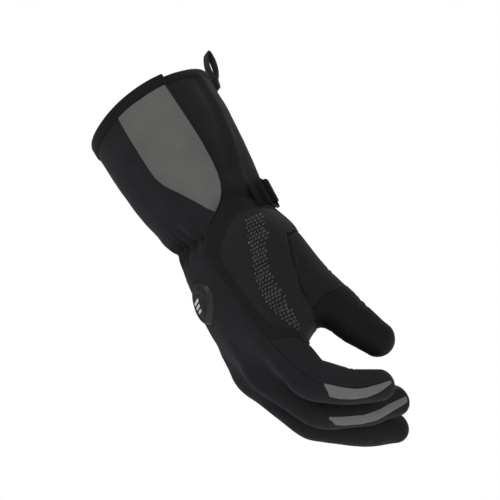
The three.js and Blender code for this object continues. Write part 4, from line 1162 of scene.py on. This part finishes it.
h, w, c = LOOP_THICK / 2, LOOP_WIDTH / 2, LOOP_CHAMFER
section = np.array([(-h, -w + c), (-h, w - c), (-h + c, w), (h - c, w), (h, w - c), (h, -w + c),
                    (h - c, -w), (-h + c, -w)])
flat = line[:, None] + normal[:, None] * section[None, :, :1]
lean = np.radians(LOOP_LEAN)
across_way = np.array([0, np.cos(lean), -np.sin(lean)])
up_way = np.array([0, np.sin(lean), np.cos(lean)])
foot_place = body_points(LOOP_HEIGHT, LOOP_TURN, LOOP_OVER) + [LOOP_WIDTH / 2, LOOP_THICK / np.cos(lean), 0]
grid = foot_place + flat[..., :1] * across_way + flat[..., 1:] * up_way
grid = grid + section[None, :, 1:] * np.array([1, 0, 0])
plain_cloth("loop_webbing", grid, "webbing", ["pull_loop"])

# %% [markdown]
# ## The heat button
# A moulded rubber housing rises from the cloth on the outer side of the hand: a rounded rhombus
# with a raised lip, and in it the button, which carries three plain level bars. Rings spread from
# its middle, and each has a height over the cloth.

# %% Housing and button
MOUND_RINGS, MOUND_SIDES, MOUND_FOOT = 26, 72, -1.0


def on_housing(x, y, out):
    """Places on the body by millimetres across and up from the housing's middle."""
    return body_points(HOUSING["height"] + y, HOUSING["turn"] + x / MM_PER_DEGREE, out)


def mound(name, length, width, heights, power, replaces):
    """Rings on the cloth. Each spread s has its height h(s), and a ring's outline is the
    superellipse |x/w|^p + |y/l|^p = s^p."""
    spread = np.linspace(heights[0][0], heights[-1][0], MOUND_RINGS)[:, None]
    round_x, round_y = superellipse(np.linspace(0, 2 * np.pi, MOUND_SIDES, endpoint=False), power)
    x, y = spread * round_x * width / 2, spread * round_y * length / 2
    rise = smooth_table(heights)(spread)[0]
    grid = np.concatenate([on_housing(x, y, rise), on_housing(x[-1:], y[-1:], MOUND_FOOT)])
    faces = [part[:, ::-1] for part in tube_faces(len(grid), MOUND_SIDES, False)]
    add_piece(name, mesh_from(name, grid.reshape(-1, 3), faces), "button_rubber", replaces, sharp=0)


# Spread, height over the cloth
LIP = [(0.02, 2.9), (0.56, 2.9), (0.62, 3.1), (0.72, 4.0), (0.84, 3.3), (0.94, 1.4), (1, 0.2)]
DOME = [(0.02, 4.5), (0.5, 4.4), (0.8, 4.1), (0.94, 3.6), (1, 2.9)]
mound("button_frame", 32, 30, LIP, 1.7, ["button_housing"])
mound("level_button", 17, 13, DOME, 1.9, ["heat_button"])

# %% Level bars
BARS = [(-3.6, 4.6), (0, 6.2), (3.6, 7.8)]  # height on the button, width
BAR_WIDE = 1.9
BAR_RINGS = [(1.0, 4.1), (1.0, 4.75), (0.86, 4.85)]  # size, height over the cloth
bar_points, bar_faces = [], []
for k, (up, wide) in enumerate(BARS):
    x, y = (np.array([(-1, -1), (1, -1), (1, 1), (-1, 1)]) * [wide / 2, BAR_WIDE / 2]).T
    bar_points += [on_housing(size * x, up + size * y, out) for size, out in BAR_RINGS]
    bar_faces += [part + 12 * k for part in tube_faces(3, 4, False)]
add_piece("level_bars", mesh_from("level_bars", np.concatenate(bar_points), bar_faces), "pale_mark")

# %% [markdown]
# ## The print's raised bits
# A band of small rubber bits runs down the pad. They stand in rows like bricks, each a low
# six-sided bump. Every corner is placed by its own spot on the unrolled pad: the three nearest
# points of the pad's cloth, weighted by closeness, give its place and the way out.

# %% Spots on a cloth
SPOTS_AT_ONCE = 500


def on_cloth(cloth, spots, over):
    """Places on a cloth by across and height in millimetres, at a distance over it."""
    own = np.stack([cloth["across"], cloth["height"]], 1)
    places_found = np.zeros((len(spots), 3))
    for part in np.array_split(np.arange(len(spots)), max(1, len(spots) // SPOTS_AT_ONCE)):
        gap = ((spots[part, None] - own[None]) ** 2).sum(2)
        near = np.argpartition(gap, 3, axis=1)[:, :3]
        weight = 1 / (np.take_along_axis(gap, near, 1) + 1e-3)
        weight /= weight.sum(1, keepdims=True)
        spot = (cloth["points"][near] * weight[..., None]).sum(1)
        way = (cloth["facing"][near] * weight[..., None]).sum(1)
        way /= np.linalg.norm(way, axis=1)[:, None]
        places_found[part] = spot + way * over[part, None]
    return places_found


# %% Bits
BAND_LEFT = [  # how far below the wrist, turn
    (17, 346), (32, 341), (43, 340), (53, 338), (64, 338), (75, 341), (88, 346), (100, 354), (111, 366),
]
BAND_RIGHT = [
    (17, 363), (37, 360), (48, 355), (57, 354), (68, 357), (79, 361), (89, 363), (100, 367), (111, 370),
]
ROW_STEP, BIT_STEP, BIT_WIDE, BIT_TALL, BIT_HIGH, BIT_SLANT = 2.9, 3.3, 2.7, 1.9, 0.5, 0.25
centres = []
for row, down in enumerate(np.arange(BAND_LEFT[0][0], BAND_LEFT[-1][0], ROW_STEP)):
    left, right = (MM_PER_DEGREE * np.interp(down, *np.array(edge).T) for edge in (BAND_LEFT, BAND_RIGHT))
    across = np.arange(left + (row % 2) * BIT_STEP / 2, right, BIT_STEP)
    centres.append(np.stack([across, np.full(len(across), -down)], 1))
centres = np.concatenate(centres)
SIXTHS = np.radians([0, 60, 120, 180, 240, 300])
ring = np.stack([np.cos(SIXTHS) * BIT_WIDE / 2, np.sin(SIXTHS) * BIT_TALL / 1.73], 1)
ring[:, 0] += BIT_SLANT * ring[:, 1]
BIT_RINGS = np.array([(1.0, -0.3), (1.0, 0.3), (0.72, BIT_HIGH)])  # size, height over the pad
spots = centres[:, None, None] + BIT_RINGS[:, 0, None, None] * ring
overs = np.tile(np.repeat(BIT_RINGS[:, 1], 6), len(centres))
bit_points = on_cloth(pad, spots.reshape(-1, 2), overs)
first = 18 * np.arange(len(centres))[:, None, None]
bit_faces = [(part + first).reshape(-1, part.shape[1]) for part in tube_faces(3, 6, False)]
add_piece("print_bits", mesh_from("print_bits", bit_points, bit_faces), "print_bits", sharp=30)
print(len(centres), "bits")

# %% [markdown]
# ## Padding
# The hand, fingers, cuff and flap are quilted shells with insulation inside.

# %% [markdown]
# ## Floor and light
# A wide pale floor far below that glows a little, so that it meets the white surround without a
# line, and three soft lamps: a large key from the upper left of the picture, a weaker fill from
# its right, and one from behind that edges the dark cloth.

# %% Floor
FLOOR_HEIGHT, FLOOR_REACH, FLOOR_GLOW = -0.75, 30.0, 0.38
CORNERS = ((-1, -1), (1, -1), (1, 1), (-1, 1))
floor_corners = [(x * FLOOR_REACH, y * FLOOR_REACH, FLOOR_HEIGHT) for x, y in CORNERS]
floor_mesh = bpy.data.meshes.new("floor")
floor_mesh.from_pydata(floor_corners, [], [(0, 1, 2, 3)])
floor_finish, tree, shader = new_material("floor", 0.8, 0.5)
shader.inputs["Base Color"].default_value = rgb((0.88, 0.88, 0.88))
shader.inputs["Emission Color"].default_value = rgb((1, 1, 1))
shader.inputs["Emission Strength"].default_value = FLOOR_GLOW
floor_mesh.materials.append(floor_finish)
floor = put("floor", floor_mesh)

# %% World
bpy.context.scene.view_settings.view_transform = "Standard"
world = bpy.data.worlds.new("studio")
bpy.context.scene.world = world
world.use_nodes = True
tree = world.node_tree
tree.nodes.clear()
soft = wire(tree, "Background", {"Color": (1, 1, 1, 1), "Strength": 0.3})
white = wire(tree, "Background", {"Color": (1, 1, 1, 1), "Strength": 1.0})
seen = wire(tree, "LightPath").outputs["Is Camera Ray"]
shown = wire(tree, "MixShader", {0: seen, 1: soft.outputs[0], 2: white.outputs[0]})
output = tree.nodes.new("ShaderNodeOutputWorld")
tree.links.new(shown.outputs[0], output.inputs["Surface"])


# %% Lamps
GLOVE_MIDDLE = Vector((0, 0, -0.04))


def lamp(name, right, up, back, distance, size, power):
    """A square lamp that shines at the glove's middle, placed by the picture's own directions."""
    data = bpy.data.lights.new(name, "AREA")
    data.energy, data.size = power, size
    way = right * PICTURE_RIGHT + up * PICTURE_UP + back * TO_CAMERA
    way = Vector(way / np.linalg.norm(way))
    turned = way.to_track_quat("Z", "Y").to_matrix().to_4x4()
    put(name, data).matrix_world = Matrix.Translation(GLOVE_MIDDLE + way * distance) @ turned


LAMPS = [
    # name, way to the picture's right, up and to the camera, distance, size, watts
    ("key", -0.75, 0.8, 0.75, 1.7, 1.3, 13.5),
    ("fill", 0.9, 0.1, 0.7, 2.0, 1.4, 4.5),
    ("edge", 0.3, 1.0, -0.5, 1.8, 1.0, 6),
]
for row in LAMPS:
    lamp(*row)
